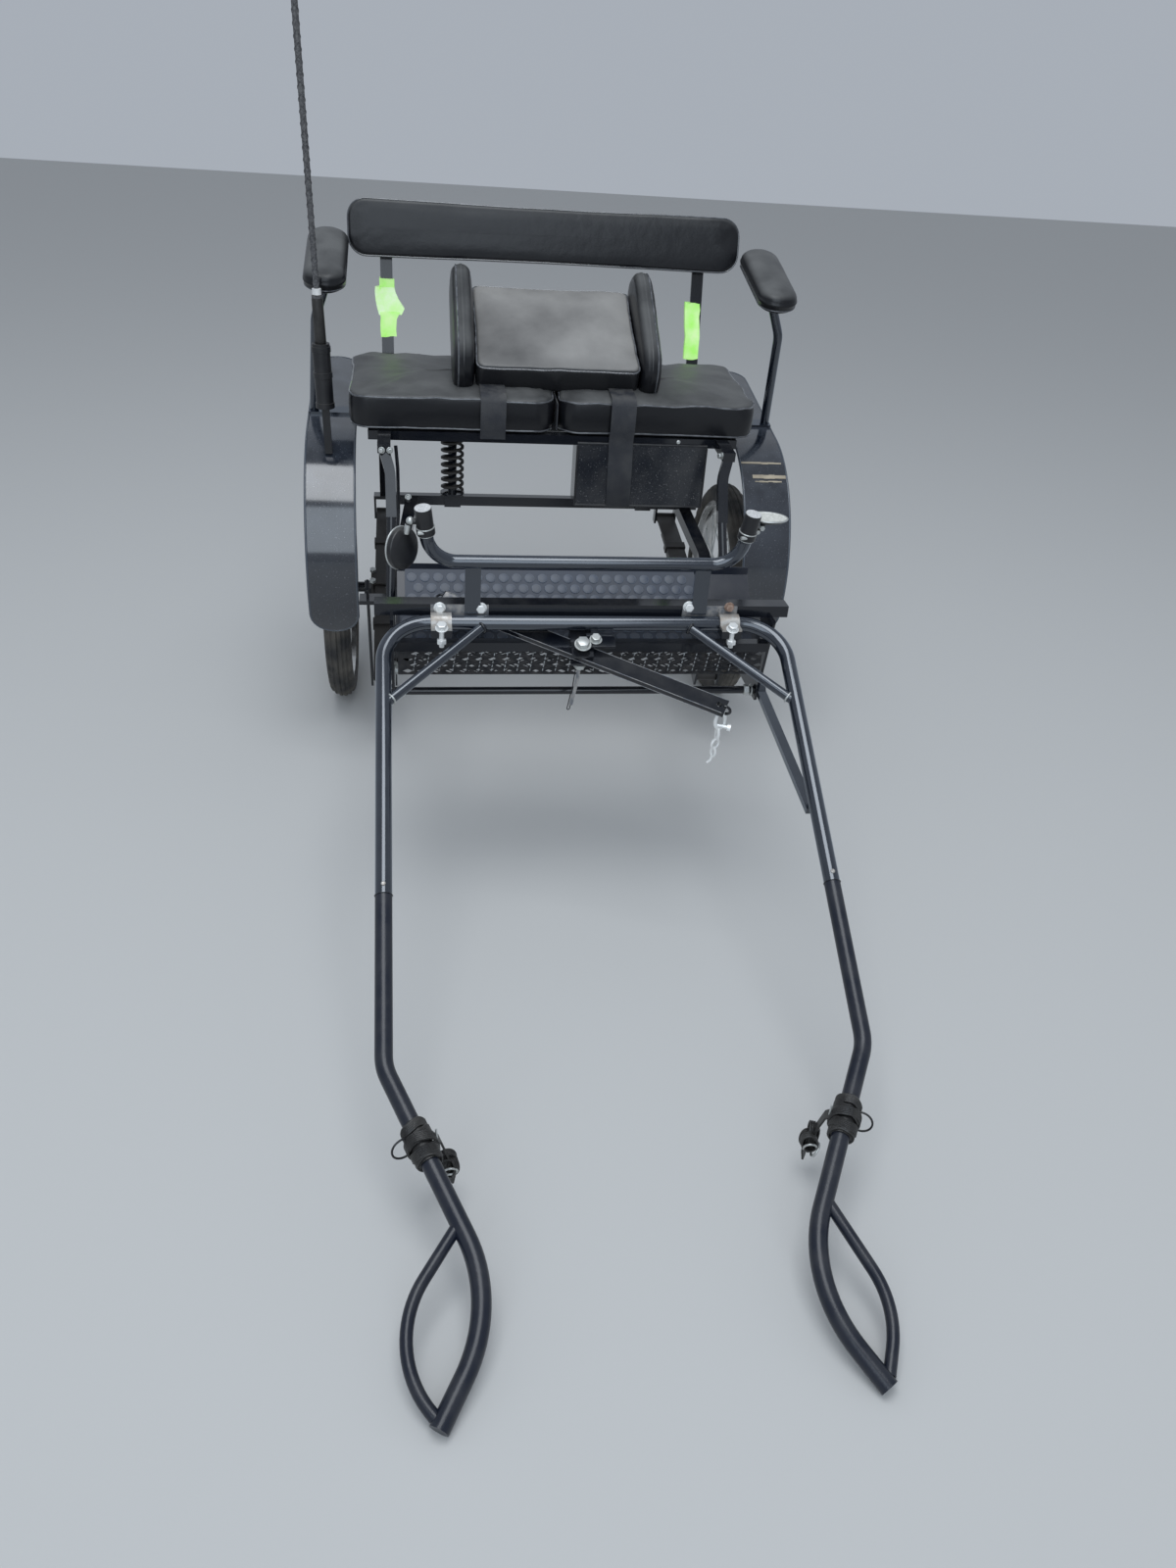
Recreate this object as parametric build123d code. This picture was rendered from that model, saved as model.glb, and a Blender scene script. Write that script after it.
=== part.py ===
from build123d import *
import os
from math import asin, atan2, cos, degrees, hypot, radians, sin, tan

# Two-wheeled pony gig, parked on its wheels and on the tips of its shafts.
# Millimetres. X is across, +Y to the rear, +Z up, with the floor at Z = 0.
# All places below are measured from the axle, and the whole model is shifted at the end.

# Wheels and axle
WHEEL_R = 256.0
TYRE_W = 60.0
RIM_R = 205.7
RIM_FLANGE_R = 214.0
RIM_HALF = 24.0
WHEEL_X = 455.0
HUB_LEN = 60.0
HUB_FLANGE_R = 30.0
STUB_R = 8.0
SPOKE_R = 1.7
SPOKES = 36
FIT = 0.3
RUN = 0.06
AXLE_BAR = 30.0
AXLE_HALF = 402.0

# Shaft frame
TUBE_R = 12.5
BRACE_R = 8.0
CROSS_Y = -830.0
CROSS_Z = 530.0
LEG_X = 338.0
LEG_FALL = 0.573
CORNER_R = 76.0
SPLICE_Y = -1253.0
BEND_Y = -1470.0
BEND_R = 70.0
END_X = {"left": 275.0, "right": 256.0}
END_Y = -1884.0
WAIST_X = {"left": 200.0, "right": 179.0}
WAIST_BACK = 121.0
WAIST_R = 175.0
LOOP_BACK = 216.0
LOOP_OUT_X = {"left": 341.0, "right": 290.0}
LOOP_OUT_BACK = 84.0
LOOP_END_BACK = 12.0
LOOP_R = 120.0
BRACE_X = 167.0
BRACE_Y = -970.0

# Front of the body
RAIL_Y = -800.0
RAIL_Z = 546.0
RAIL_W = 30.0
RAIL_H = 20.0
RAIL_HALF = 353.0
RAIL_BOLTS = {"left": (246.0, 178.0), "right": (233.0, 175.0)}
DASH_Z = 633.0
DASH_R = 11.0
DASH_SHIFT = -6.0
DASH_HALF = 255.5
DASH_BEND = 50.0
GRIP_HALF = 264.5
GRIP_Z = 716.0
GRIP_LEN = 16.0
UPRIGHT_X = 192.0
LIP_Y = -816.0
LIP_Z = 483.0
LIP_HALF = 322.4
ROD_Y = -780.0
ROD_Z = 378.0
ROD_R = 7.0
PLATE_X = 325.0
PLATE_T = 5.0
PLATE_BACK_Y = -600.0
CLAMP_X = 244.0
STAY_W = 16.0
STAY_T = 10.0
TAB_Y = -1116.0
FLAT_LEN = 95.0
FLAT_TILT = 17.0
RAMP_LEN = 66.0
RAMP_TILT = 42.0
MAT_FLAT = (-312.0, 300.0)
MAT_RAMP = (-303.0, 216.0)

# Chassis
FRAME_X = 310.0
FRAME_BACK_X = 287.0
FRAME_KINK_Y = -358.0
FRAME_FRONT_Y = -650.0
FRAME_BAR = 25.0
FRAME_Z0 = 428.0
FRAME_Y0 = -490.0
FRAME_RISE = 0.357
REAR_BAR_Y = -195.0
REAR_BAR_W = 20.0
SIDE_BAR_X = 341.0
SIDE_BAR_MID_X = 328.0
SIDE_BAR_R = 9.0
SEAT_BOLT_Y = -350.0
SEAT_BOLT_Z = 680.0
LEAF_X = 360.0
LEAF_W = 45.0
LEAF_TILT = 16.4
LEAF_HALF = 305.0
LEAF_RISE = 22.0
LEAF_T = 6.0
LEAF_SHIFT = 6.0
HANGER_Y = -395.0
HANGER_OUT = 396.0
HANGER_Z = 389.0
SPRING_X = 204.0
SPRING_R = 21.0
SPRING_WIRE = 3.5
SPRING_TURNS = 8

# Swingletree
PIVOT = (-10.5, -858.0, 487.9)
SWING_HALF = 260.0
SWING_W = 30.0
SWING_T = 10.0
SWING_YAW = -27.5
SWING_TILT = 25.0
PIVOT_R = 6.0
EYE_X = 247.0
EYE_R = 5.0

# Fenders
FENDER_X = 450.0
FENDER_W = 100.0
FENDER_T = 3.0
FENDER_R = 260.0
FENDER_Y = -100.0
FENDER_TOP = 665.2
FENDER_LOW = 207.5
FENDER_SLOPE = 11.0
FENDER_BACK_Y = 200.0
BRACKET_Y = -78.0
BRACKET_T = 5.0
BRACKET_IN = 333.0

# Seat
SEAT_TILT = 4.0
SEAT_FRONT_Y = -290.0
SEAT_Z = 697.0
SEAT_DEPTH = 300.0
SEAT_HALF = 408.0
POST_X = 348.0
POST_Y = 60.0
CUSHION_T = 70.0
CUSHION_GAP = 4.0
BACK_HALF = 413.0
BACK_H = 110.0
BACK_T = 50.0
BACK_Y = 48.0
BACK_Z = 1021.0
BACK_TILT = -10.0
BACK_BAR_X = 334.0
ARM_X = 447.0
ARM_Y = -100.0
ARM_Z = 978.0
HOLDER_LOW = (-454.0, -238.0, 730.0)
HOLDER_FOOT = (-452.0, -232.0, 636.0)
WHIP_RUN = (-0.022, -0.033, 1.0)
WHIP_LEN = 900.0
TUG_Y = -1573.0
BOX_X = (43.0, 312.0)
BOX_Z = (555.0, 685.0)
BOX_DEPTH = 62.0
BOOSTER = (330.0, 264.0, 54.0)
BOOSTER_TILT = 28.0
MIRROR_R = 34.0
MIRROR_T = 12.0
MIRROR_AT = {"left": (-305.0, -829.0, 657.0), "right": (296.0, -797.0, 706.0)}
MIRROR_FACE = {"left": (-0.77, 0.63, -0.085), "right": (0.014, 0.043, 1.0)}

AXLE_Z = WHEEL_R
FENDER_Z = FENDER_TOP - FENDER_R * cos(radians(FENDER_SLOPE))
WAIST_Y = END_Y + WAIST_BACK
LEG_ANGLE = degrees(atan2(LEG_FALL, 1.0))
BEND_Z = CROSS_Z - LEG_FALL * (CROSS_Y - BEND_Y)
SIDES = {"left": -1, "right": 1}
nodes = {}


def bend_in_runs(before, corner, after, radius):
    """A bend's radius, or the largest that the shorter of its two runs takes."""
    a, b = Vector(*before) - Vector(*corner), Vector(*after) - Vector(*corner)
    return min(radius, 0.999 * min(a.length, b.length) * tan(radians(a.get_angle(b) / 2)))


def rod(points, radius, bends=None):
    """A round bar along straight runs, with the given bend radii at its corners."""
    path = FilletPolyline(*points, radius=bends) if bends else Line(*points)
    start = path.position_at(0)
    return sweep(Plane(start, z_dir=path.tangent_at(0)) * Circle(radius), path=path)


def bar(start, end, width, height, wall=0.0):
    """A rectangular bar between two points, its width kept level across X."""
    run = Vector(*end) - Vector(*start)
    plane = Plane(Vector(*start), x_dir=(1, 0, 0), z_dir=run)
    section = Rectangle(width, height)
    if wall:
        section -= Rectangle(width - 2 * wall, height - 2 * wall)
    return extrude(plane * section, amount=run.length)


def add(name, shape):
    """Put a shape into a node, next to what the node already holds."""
    nodes[name] = nodes[name] + shape if name in nodes else shape


def block(x, y, z, size_x, size_y, size_z):
    return Pos(x, y, z) * Box(size_x, size_y, size_z)


def bolt(x, y, z, direction, length, radius=4.0, head=5.0):
    """A hexagon-headed bolt: the head sits at the given point and the shank runs on from it."""
    plane = Plane((x, y, z), z_dir=direction)
    body = extrude(plane * RegularPolygon(radius * 1.75, 6), amount=-head)
    return body + extrude(plane * Circle(radius), amount=length)


def side_profile(sketch, x, width):
    """Extrude a sketch drawn in Y and Z to a given width, centred on x."""
    return Pos(x - width / 2, 0, 0) * extrude(Plane.YZ * sketch, amount=width)


def arc_strip(center, inner, outer, start, sweep_angle):
    """A band between two radii, drawn in Y and Z."""
    a = CenterArc(center, inner, start, sweep_angle)
    b = CenterArc(center, outer, start, sweep_angle)
    return make_face([a, b, Line(a @ 0, b @ 0), Line(a @ 1, b @ 1)])


def rounded(shape, radius):
    return fillet(shape.edges(), radius)


# Front stretch of each shaft: all its bends lie in one plane that slopes to the floor
def end_z(y):
    return TIP_Z + END_FALL * (y - END_Y)


def shaft_x(side, y):
    """How far out the shaft's middle line is between its bend and its waist."""
    t = (BEND_Y - y) / (BEND_Y - WAIST_Y)
    return LEG_X + t * (WAIST_X[side] - LEG_X)


END_RUN = hypot(END_X["right"] - WAIST_X["right"], WAIST_Y - END_Y)
END_FALL = (BEND_Z - TUBE_R) / (BEND_Y - END_Y)
END_SLOPE = atan2(END_FALL * (WAIST_Y - END_Y), END_RUN)
TIP_Z = TUBE_R * cos(END_SLOPE)


def make_shafts():
    leg = lambda y: CROSS_Z + LEG_FALL * (y - CROSS_Y)
    corner = (LEG_X, CROSS_Y, CROSS_Z)
    splice = (LEG_X, SPLICE_Y, leg(SPLICE_Y))
    mirror_x = lambda p: (-p[0], p[1], p[2])
    frame = rod([mirror_x(splice), mirror_x(corner), corner, splice], TUBE_R, [CORNER_R, CORNER_R])
    for s in SIDES.values():
        frame += rod([(s * BRACE_X, CROSS_Y, CROSS_Z), (s * LEG_X, BRACE_Y, leg(BRACE_Y))], BRACE_R)
    nodes["shaft_frame"] = frame
    for side, s in SIDES.items():
        at = lambda x, y: (s * x, y, end_z(y))
        start = (s * LEG_X, SPLICE_Y - FIT, leg(SPLICE_Y - FIT))
        bend = (s * LEG_X, BEND_Y, BEND_Z)
        tip = at(END_X[side], END_Y)
        end = rod([start, bend, at(WAIST_X[side], WAIST_Y), tip], TUBE_R, [BEND_R, WAIST_R])
        loop_y = END_Y + LOOP_BACK
        low = at(END_X[side] + 3, END_Y + LOOP_END_BACK)
        out = at(LOOP_OUT_X[side], END_Y + LOOP_OUT_BACK)
        start = at(shaft_x(side, loop_y) - 1.5, loop_y)
        loop = rod([start, out, low], BRACE_R, [bend_in_runs(start, out, low, LOOP_R)])
        nodes[f"shaft_end_{side}"] = end + loop


def make_clamps_and_stays():
    for side, s in SIDES.items():
        x = s * CLAMP_X
        bore = Pos(x, CROSS_Y, CROSS_Z) * Rot(Y=90) * Cylinder(TUBE_R + FIT, 60)
        low = block(x, CROSS_Y - 15.5, CROSS_Z - 7.5, 34, 35, 13) - bore
        top = Pos(x, CROSS_Y, CROSS_Z) * Rot(Y=90) * Cylinder(TUBE_R + FIT + 4, 34)
        top += block(x, CROSS_Y - 22, CROSS_Z + 1.5, 34, 22, 4)
        top = split(top, Plane((0, 0, CROSS_Z - 0.5)), keep=Keep.TOP) - bore
        top -= block(x, RAIL_Y - RAIL_W / 2 - 3.1 + 25, CROSS_Z + 20, 60, 50, 60)
        nodes[f"shaft_clamp_{side}"] = low
        add("clamp_straps", top)
        tab_z = CROSS_Z + LEG_FALL * (TAB_Y - CROSS_Y)
        leg_low = tab_z - TUBE_R / cos(radians(LEG_ANGLE))
        tab = block(s * (LEG_X + 1), TAB_Y, leg_low - 9, 6, 22, 26)
        axis = Pos(s * LEG_X, CROSS_Y, CROSS_Z) * Rot(X=90 + LEG_ANGLE) * Cylinder(TUBE_R + 0.05, 1400)
        tab -= axis
        x_stay = s * (PLATE_X + PLATE_T / 2 + FIT + STAY_W / 2)
        stay = bar((x_stay, ROD_Y, ROD_Z), (x_stay, TAB_Y - 8, leg_low - 17), STAY_W, STAY_T)
        stay += Pos(x_stay, ROD_Y, ROD_Z) * Rot(Y=90) * Cylinder(ROD_R + 5, STAY_W)
        hole = Pos(x_stay, ROD_Y, ROD_Z) * Rot(Y=90) * Cylinder(ROD_R + FIT, 20)
        nodes[f"shaft_stay_{side}"] = stay - hole + tab


def make_front():
    rail = block(0, RAIL_Y, RAIL_Z, 2 * RAIL_HALF, RAIL_W, RAIL_H)
    rail -= block(0, RAIL_Y, RAIL_Z, 2 * RAIL_HALF + 2, RAIL_W - 4, RAIL_H - 4)
    nodes["front_rail"] = rail
    face = RAIL_Y - RAIL_W / 2
    for side, s in SIDES.items():
        plate = block(s * 213, face - 1.5, RAIL_Z, 96, 3, RAIL_H)
        for x in RAIL_BOLTS[side]:
            plate += bolt(s * x, face - 3, RAIL_Z + 3, (0, 1, 0), 1, 3.2, 3.5)
        add("rail_plates", plate)
    dash_y = face - 3 - 3 - 0.3
    ends = []
    for s in (-1, 1):
        ends.append([(DASH_SHIFT + s * GRIP_HALF, dash_y - 14, GRIP_Z - 6), (DASH_SHIFT + s * DASH_HALF, dash_y, DASH_Z)])
    dash = rod([ends[0][0], ends[0][1], ends[1][1], ends[1][0]], DASH_R, [DASH_BEND, DASH_BEND])
    for s in (-1, 1):
        dash += block(s * UPRIGHT_X, dash_y, (DASH_Z + RAIL_Z - 2) / 2, 26, 6, DASH_Z - RAIL_Z + 2)
    nodes["dash_rail"] = dash
    for side, s in SIDES.items():
        lean = Vector(s * (GRIP_HALF - DASH_HALF), -14, GRIP_Z - 6 - DASH_Z).normalized()
        top = Vector(DASH_SHIFT + s * GRIP_HALF, dash_y - 14, GRIP_Z - 6)
        start = top + lean * FIT
        add("dash_grips", extrude(Plane(start, z_dir=lean) * Circle(DASH_R + 2.5), amount=GRIP_LEN))
    nodes["rail_plates"] -= nodes["dash_rail"]
    nodes["clamp_straps"] -= nodes["rail_plates"]
    lip = block(0, LIP_Y, LIP_Z, 2 * LIP_HALF, 20, 16)
    lip -= block(0, LIP_Y, LIP_Z, 2 * LIP_HALF + 2, 16, 12)
    nodes["front_lip"] = lip


def make_floor():
    y0 = LIP_Y + 10.2
    z0 = LIP_Z - 2
    p = [(y0, z0)]
    for length, tilt in ((FLAT_LEN, FLAT_TILT), (RAMP_LEN, RAMP_TILT)):
        p.append((p[-1][0] + length * cos(radians(tilt)), p[-1][1] + length * sin(radians(tilt))))
    half = PLATE_X - PLATE_T / 2 - 6
    strip = lambda ends, base, thick: make_face(Polyline(
        *[(y, z + base) for y, z in ends], *[(y, z + base + thick) for y, z in reversed(ends)], close=True))
    tray = side_profile(strip(p, 0, 3), 0, 2 * half)
    nodes["floor_tray"] = tray + block(0, p[2][0] + 1, p[2][1] + 7, 2 * half, 3, 18)
    for run, ends in ((p[:2], MAT_FLAT), (p[1:], MAT_RAMP)):
        add("floor_mat", side_profile(strip(run, 3.05, 4), sum(ends) / 2, ends[1] - ends[0]))
    nodes["floor_mat"] -= nodes["floor_tray"]


def frame_z(y):
    return FRAME_Z0 + FRAME_RISE * (y - FRAME_Y0)


def make_chassis():
    rear_z = frame_z(REAR_BAR_Y)
    for side, s in SIDES.items():
        at = lambda x, y: (s * x, y, frame_z(y))
        path = FilletPolyline(at(FRAME_X, FRAME_FRONT_Y), at(FRAME_X, FRAME_KINK_Y), at(FRAME_BACK_X, REAR_BAR_Y),
                              radius=60)
        face = Plane(path @ 0, x_dir=(1, 0, 0), z_dir=path % 0)
        rail = sweep(face * (Rectangle(FRAME_BAR, FRAME_BAR) - Rectangle(FRAME_BAR - 4, FRAME_BAR - 4)), path=path)
        nodes[f"chassis_rail_{side}"] = rail - block(0, REAR_BAR_Y - REAR_BAR_W / 2 - 0.1 + 50, rear_z, 800, 100, 200)
        outline = [(RAIL_Y - 36, RAIL_Z - RAIL_H / 2 - 0.1), (RAIL_Y + 15, RAIL_Z - RAIL_H / 2 - 0.1),
                   (-640, frame_z(-640) + 14), (PLATE_BACK_Y, frame_z(PLATE_BACK_Y) + 13),
                   (PLATE_BACK_Y, frame_z(PLATE_BACK_Y) - 13), (-650, frame_z(-650) - 6),
                   (ROD_Y + 14, ROD_Z - 14), (ROD_Y - 14, ROD_Z - 14)]
        plate = side_profile(make_face(Polyline(*outline, close=True)), s * PLATE_X, PLATE_T)
        hole = Pos(s * PLATE_X, ROD_Y, ROD_Z) * Rot(Y=90) * Cylinder(ROD_R + FIT, 20)
        nodes[f"side_plate_{side}"] = plate - hole
        foot = Vector(s * (FRAME_X + FRAME_BAR / 2 + SIDE_BAR_R + 1.3), -494, frame_z(-494) - 15)
        top = Vector(s * SIDE_BAR_X, SEAT_BOLT_Y, SEAT_BOLT_Z)
        along = lambda t, x: Vector(s * x, foot.Y + (top.Y - foot.Y) * t, foot.Z + (top.Z - foot.Z) * t)
        mid = along(0.57, SIDE_BAR_MID_X)
        path = FilletPolyline(mid, along(0.86, SIDE_BAR_MID_X + 1), top, radius=90)
        upper = sweep(Plane(mid, x_dir=(1, 0, 0), z_dir=path % 0) * Rectangle(20, 14), path=path)
        nodes[f"side_bar_{side}"] = rod([foot, mid], SIDE_BAR_R) + upper
        leaf_x = s * LEAF_X + LEAF_SHIFT
        add("seat_frame", bar((s * POST_X, POST_Y, SEAT_Z + 12), (leaf_x, 281, 391), 25, 25))
    rear = block(0, REAR_BAR_Y, rear_z, 2 * 323, REAR_BAR_W, REAR_BAR_W)
    rear -= block(0, REAR_BAR_Y, rear_z, 2 * 323 + 2, REAR_BAR_W - 4, REAR_BAR_W - 4)
    nodes["rear_cross_bar"] = rear
    nodes["cross_rod"] = Pos(0, ROD_Y, ROD_Z) * Rot(Y=90) * Cylinder(ROD_R, 2 * (PLATE_X + 16))


def make_springs():
    tilt = Pos(0, 0, AXLE_Z) * Rot(X=LEAF_TILT)
    beam = tilt * Pos(0, 0, -8) * Box(2 * AXLE_HALF, AXLE_BAR, AXLE_BAR)
    for s in SIDES.values():
        inner = WHEEL_X - HUB_LEN / 2 - 1
        outer = WHEEL_X + HUB_LEN / 2 + 9
        beam += Pos(s * (AXLE_HALF + inner) / 2, 0, AXLE_Z) * Rot(Y=90) * Cylinder(12, inner - AXLE_HALF + 2)
        beam += Pos(s * (AXLE_HALF + outer) / 2, 0, AXLE_Z) * Rot(Y=90) * Cylinder(STUB_R, outer - AXLE_HALF)
    nodes["axle"] = beam
    base = AXLE_BAR / 2 - 8 + 0.15
    radius = (LEAF_HALF ** 2 + LEAF_RISE ** 2) / (2 * LEAF_RISE)
    for side, s in SIDES.items():
        leaf_x = s * LEAF_X + LEAF_SHIFT
        stack = None
        for i, half in enumerate((LEAF_HALF, LEAF_HALF * 0.72, LEAF_HALF * 0.45)):
            top = base + LEAF_T * (3 - i)
            angle = degrees(asin(half / radius))
            strip = arc_strip((0, top - radius), radius - LEAF_T, radius, 90 - angle, 2 * angle)
            leaf = side_profile(strip, leaf_x, LEAF_W)
            stack = leaf if stack is None else stack + leaf
        for end in (-1, 1):
            eye_z = base + 3 * LEAF_T - LEAF_RISE - 6
            eye = Pos(leaf_x, end * LEAF_HALF, eye_z) * Rot(Y=90) * Cylinder(11, LEAF_W)
            stack += eye
        nodes[f"leaf_spring_{side}"] = tilt * stack
        rear_eye = (tilt * Pos(0, LEAF_HALF, base + 3 * LEAF_T - LEAF_RISE - 6)).position
        front_eye = (tilt * Pos(0, -LEAF_HALF, base + 3 * LEAF_T - LEAF_RISE - 6)).position
        shackle = None
        for x in (-1, 1):
            cheek = bar((leaf_x + x * (LEAF_W / 2 + 3), rear_eye.Y, rear_eye.Z - 12),
                        (leaf_x + x * (LEAF_W / 2 + 3), 284, 384), 5, 22)
            shackle = cheek if shackle is None else shackle + cheek
        shackle += block(leaf_x, 284, 384, LEAF_W + 11, 34, 8)
        add("shackles", shackle)
        hanger = None
        for x in (-1, 1):
            cheek_x = leaf_x + x * (LEAF_W / 2 + 3)
            cheek = bar((cheek_x, front_eye.Y, front_eye.Z - 12), (cheek_x, HANGER_Y, HANGER_Z + 31), 5, 30)
            hanger = cheek if hanger is None else hanger + cheek
        inner = FRAME_X + FRAME_BAR / 2 + 0.1
        hanger += block(s * (inner + HANGER_OUT) / 2, HANGER_Y, HANGER_Z, HANGER_OUT - inner, 40, 8)
        top = frame_z(HANGER_Y) + 6
        hanger += block(s * (inner + 3), HANGER_Y, (HANGER_Z - 4 + top) / 2, 6, 60, top - HANGER_Z + 4)
        add("spring_hangers", hanger)
        low = frame_z(REAR_BAR_Y) + 10
        high = SEAT_Z - 8
        seat = block(s * SPRING_X, REAR_BAR_Y, low + 2.1, 34, 30, 4)
        for y in (-1, 1):
            cheek_y = REAR_BAR_Y + y * (REAR_BAR_W / 2 + 2.7)
            seat += block(s * SPRING_X, cheek_y, low - 9, 34, 5, 26)
        seat += Pos(s * SPRING_X, REAR_BAR_Y, low + 5.5) * Cylinder(SPRING_R + 4, 3)
        seat += Pos(s * SPRING_X, REAR_BAR_Y, high - 4) * Cylinder(SPRING_R + 4, 12)
        cup = Pos(s * SPRING_X, REAR_BAR_Y, (low + 4 + high) / 2) * Cylinder(9, high - low - 4)
        add("dampers", seat + cup)
        height = high - 10 - (low + 7) - 2 * SPRING_WIRE - 0.4
        helix = Helix(pitch=height / SPRING_TURNS, height=height, radius=SPRING_R)
        helix = Pos(s * SPRING_X, REAR_BAR_Y, low + 7.2 + SPRING_WIRE) * helix
        wire = Plane(helix @ 0, z_dir=helix % 0) * RegularPolygon(SPRING_WIRE, 6)
        add("coil_springs", sweep(wire, path=helix, is_frenet=True))


def make_wheels():
    for side, s in SIDES.items():
        place = Pos(s * WHEEL_X, 0, AXLE_Z)
        core = TYRE_W / 2
        tyre = Pos(0, WHEEL_R - core) * Circle(core) & Pos(0, RIM_FLANGE_R + 0.4 + core * 2) * Rectangle(90, core * 4)
        tyre += Pos(0, (RIM_R + FIT + RIM_FLANGE_R + 2) / 2) * Rectangle(39, RIM_FLANGE_R + 2 - RIM_R - FIT)
        nodes[f"tyre_{side}"] = place * revolve(tyre, Axis.X)
        well = 190.0
        points = [(RIM_HALF, RIM_FLANGE_R), (20, RIM_FLANGE_R), (20, RIM_R), (8, RIM_R), (6, well + 6)]
        under = [(RIM_HALF, RIM_R - 3), (12, RIM_R - 6), (8, well)]
        outline = [(-x, r) for x, r in points] + [(x, r) for x, r in reversed(points)]
        outline += under + [(-x, r) for x, r in reversed(under)]
        rim = make_face(Polyline(*outline, close=True))
        nodes[f"rim_{side}"] = place * revolve(rim, Axis.X)
        half = HUB_LEN / 2
        hub_points = [(-half, STUB_R + RUN), (-half, 14), (-half + 4, 14), (-half + 4, HUB_FLANGE_R + 4),
                      (-half + 8, HUB_FLANGE_R + 4), (-half + 10, 17)]
        hub_points += [(-x, r) for x, r in reversed(hub_points)]
        hub = revolve(make_face(Polyline(*hub_points, close=True)), Axis.X)
        spokes = []
        for i in range(SPOKES):
            flange = -1 if i % 2 else 1
            lean = 1 if (i // 2) % 2 else -1
            a = radians(360 / SPOKES * i)
            b = a - lean * radians(52)
            inner = (flange * (half - 6), HUB_FLANGE_R * cos(b), HUB_FLANGE_R * sin(b))
            outer = (flange * 4, (well - FIT) * cos(a), (well - FIT) * sin(a))
            run = Vector(*outer) - Vector(*inner)
            spokes.append(extrude(Plane(inner, z_dir=run) * Circle(SPOKE_R), amount=run.length - 1))
        nodes[f"hub_{side}"] = place * hub.fuse(*spokes)


def end_corners(point, normal, ahead):
    """What is cut away to leave a half-round end on a fender."""
    plane = Plane(point, x_dir=(1, 0, 0), z_dir=normal)
    half = FENDER_W / 2
    way = 1 if plane.y_dir.dot(Vector(*ahead)) > 0 else -1
    corners = Pos(0, way * (half / 2 + 10)) * Rectangle(FENDER_W + 4, half + 20) - Circle(half)
    return extrude(plane * corners, amount=25, both=True)


def bracket_z():
    """The height of the bar that crosses a fender and carries the armrest."""
    a = radians(90 + FENDER_SLOPE)
    run = BRACKET_Y - FENDER_Y - FENDER_R * cos(a)
    return FENDER_Z + FENDER_R * sin(a) + run * tan(radians(FENDER_SLOPE)) + BRACKET_T / 2 + 0.1


def make_fenders():
    arc_size = FENDER_LOW - 90 - FENDER_SLOPE
    center = (FENDER_Y, FENDER_Z)
    a = radians(90 + FENDER_SLOPE)
    run = (FENDER_BACK_Y - FENDER_Y - FENDER_R * cos(a)) / cos(radians(FENDER_SLOPE))
    along = (cos(radians(FENDER_SLOPE)), sin(radians(FENDER_SLOPE)))
    for side, s in SIDES.items():
        strip = arc_strip(center, FENDER_R - FENDER_T, FENDER_R, 90 + FENDER_SLOPE, arc_size)
        edge = [(FENDER_Y + r * cos(a), FENDER_Z + r * sin(a)) for r in (FENDER_R - FENDER_T, FENDER_R)]
        back = [(y + run * along[0], z + run * along[1]) for y, z in edge]
        strip += make_face(Polyline(edge[0], edge[1], back[1], back[0], close=True))
        sheet = side_profile(strip, s * FENDER_X, FENDER_W)
        low = radians(FENDER_LOW)
        turn = low - FENDER_W / 2 / FENDER_R
        front = (s * FENDER_X, FENDER_Y + FENDER_R * cos(turn), FENDER_Z + FENDER_R * sin(turn))
        sheet -= end_corners(front, (0, cos(turn), sin(turn)), (0, -sin(turn), cos(turn)))
        tail = (s * FENDER_X, back[1][0] - FENDER_W / 2 * along[0], back[1][1] - FENDER_W / 2 * along[1])
        sheet -= end_corners(tail, (0, -along[1], along[0]), (0, along[0], along[1]))
        nodes[f"fender_{side}"] = sheet
        top = bracket_z()
        outer = FENDER_X + FENDER_W / 2 - 1
        bracket = Pos(s * (BRACKET_IN + outer) / 2, BRACKET_Y, top) * Rot(X=FENDER_SLOPE)
        bracket *= Box(outer - BRACKET_IN, 30, BRACKET_T)
        bracket += block(s * (BRACKET_IN + 12), BRACKET_Y, top + 7.4, 24, 22, 18)
        nodes[f"arm_tube_{side}"] = bracket


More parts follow.
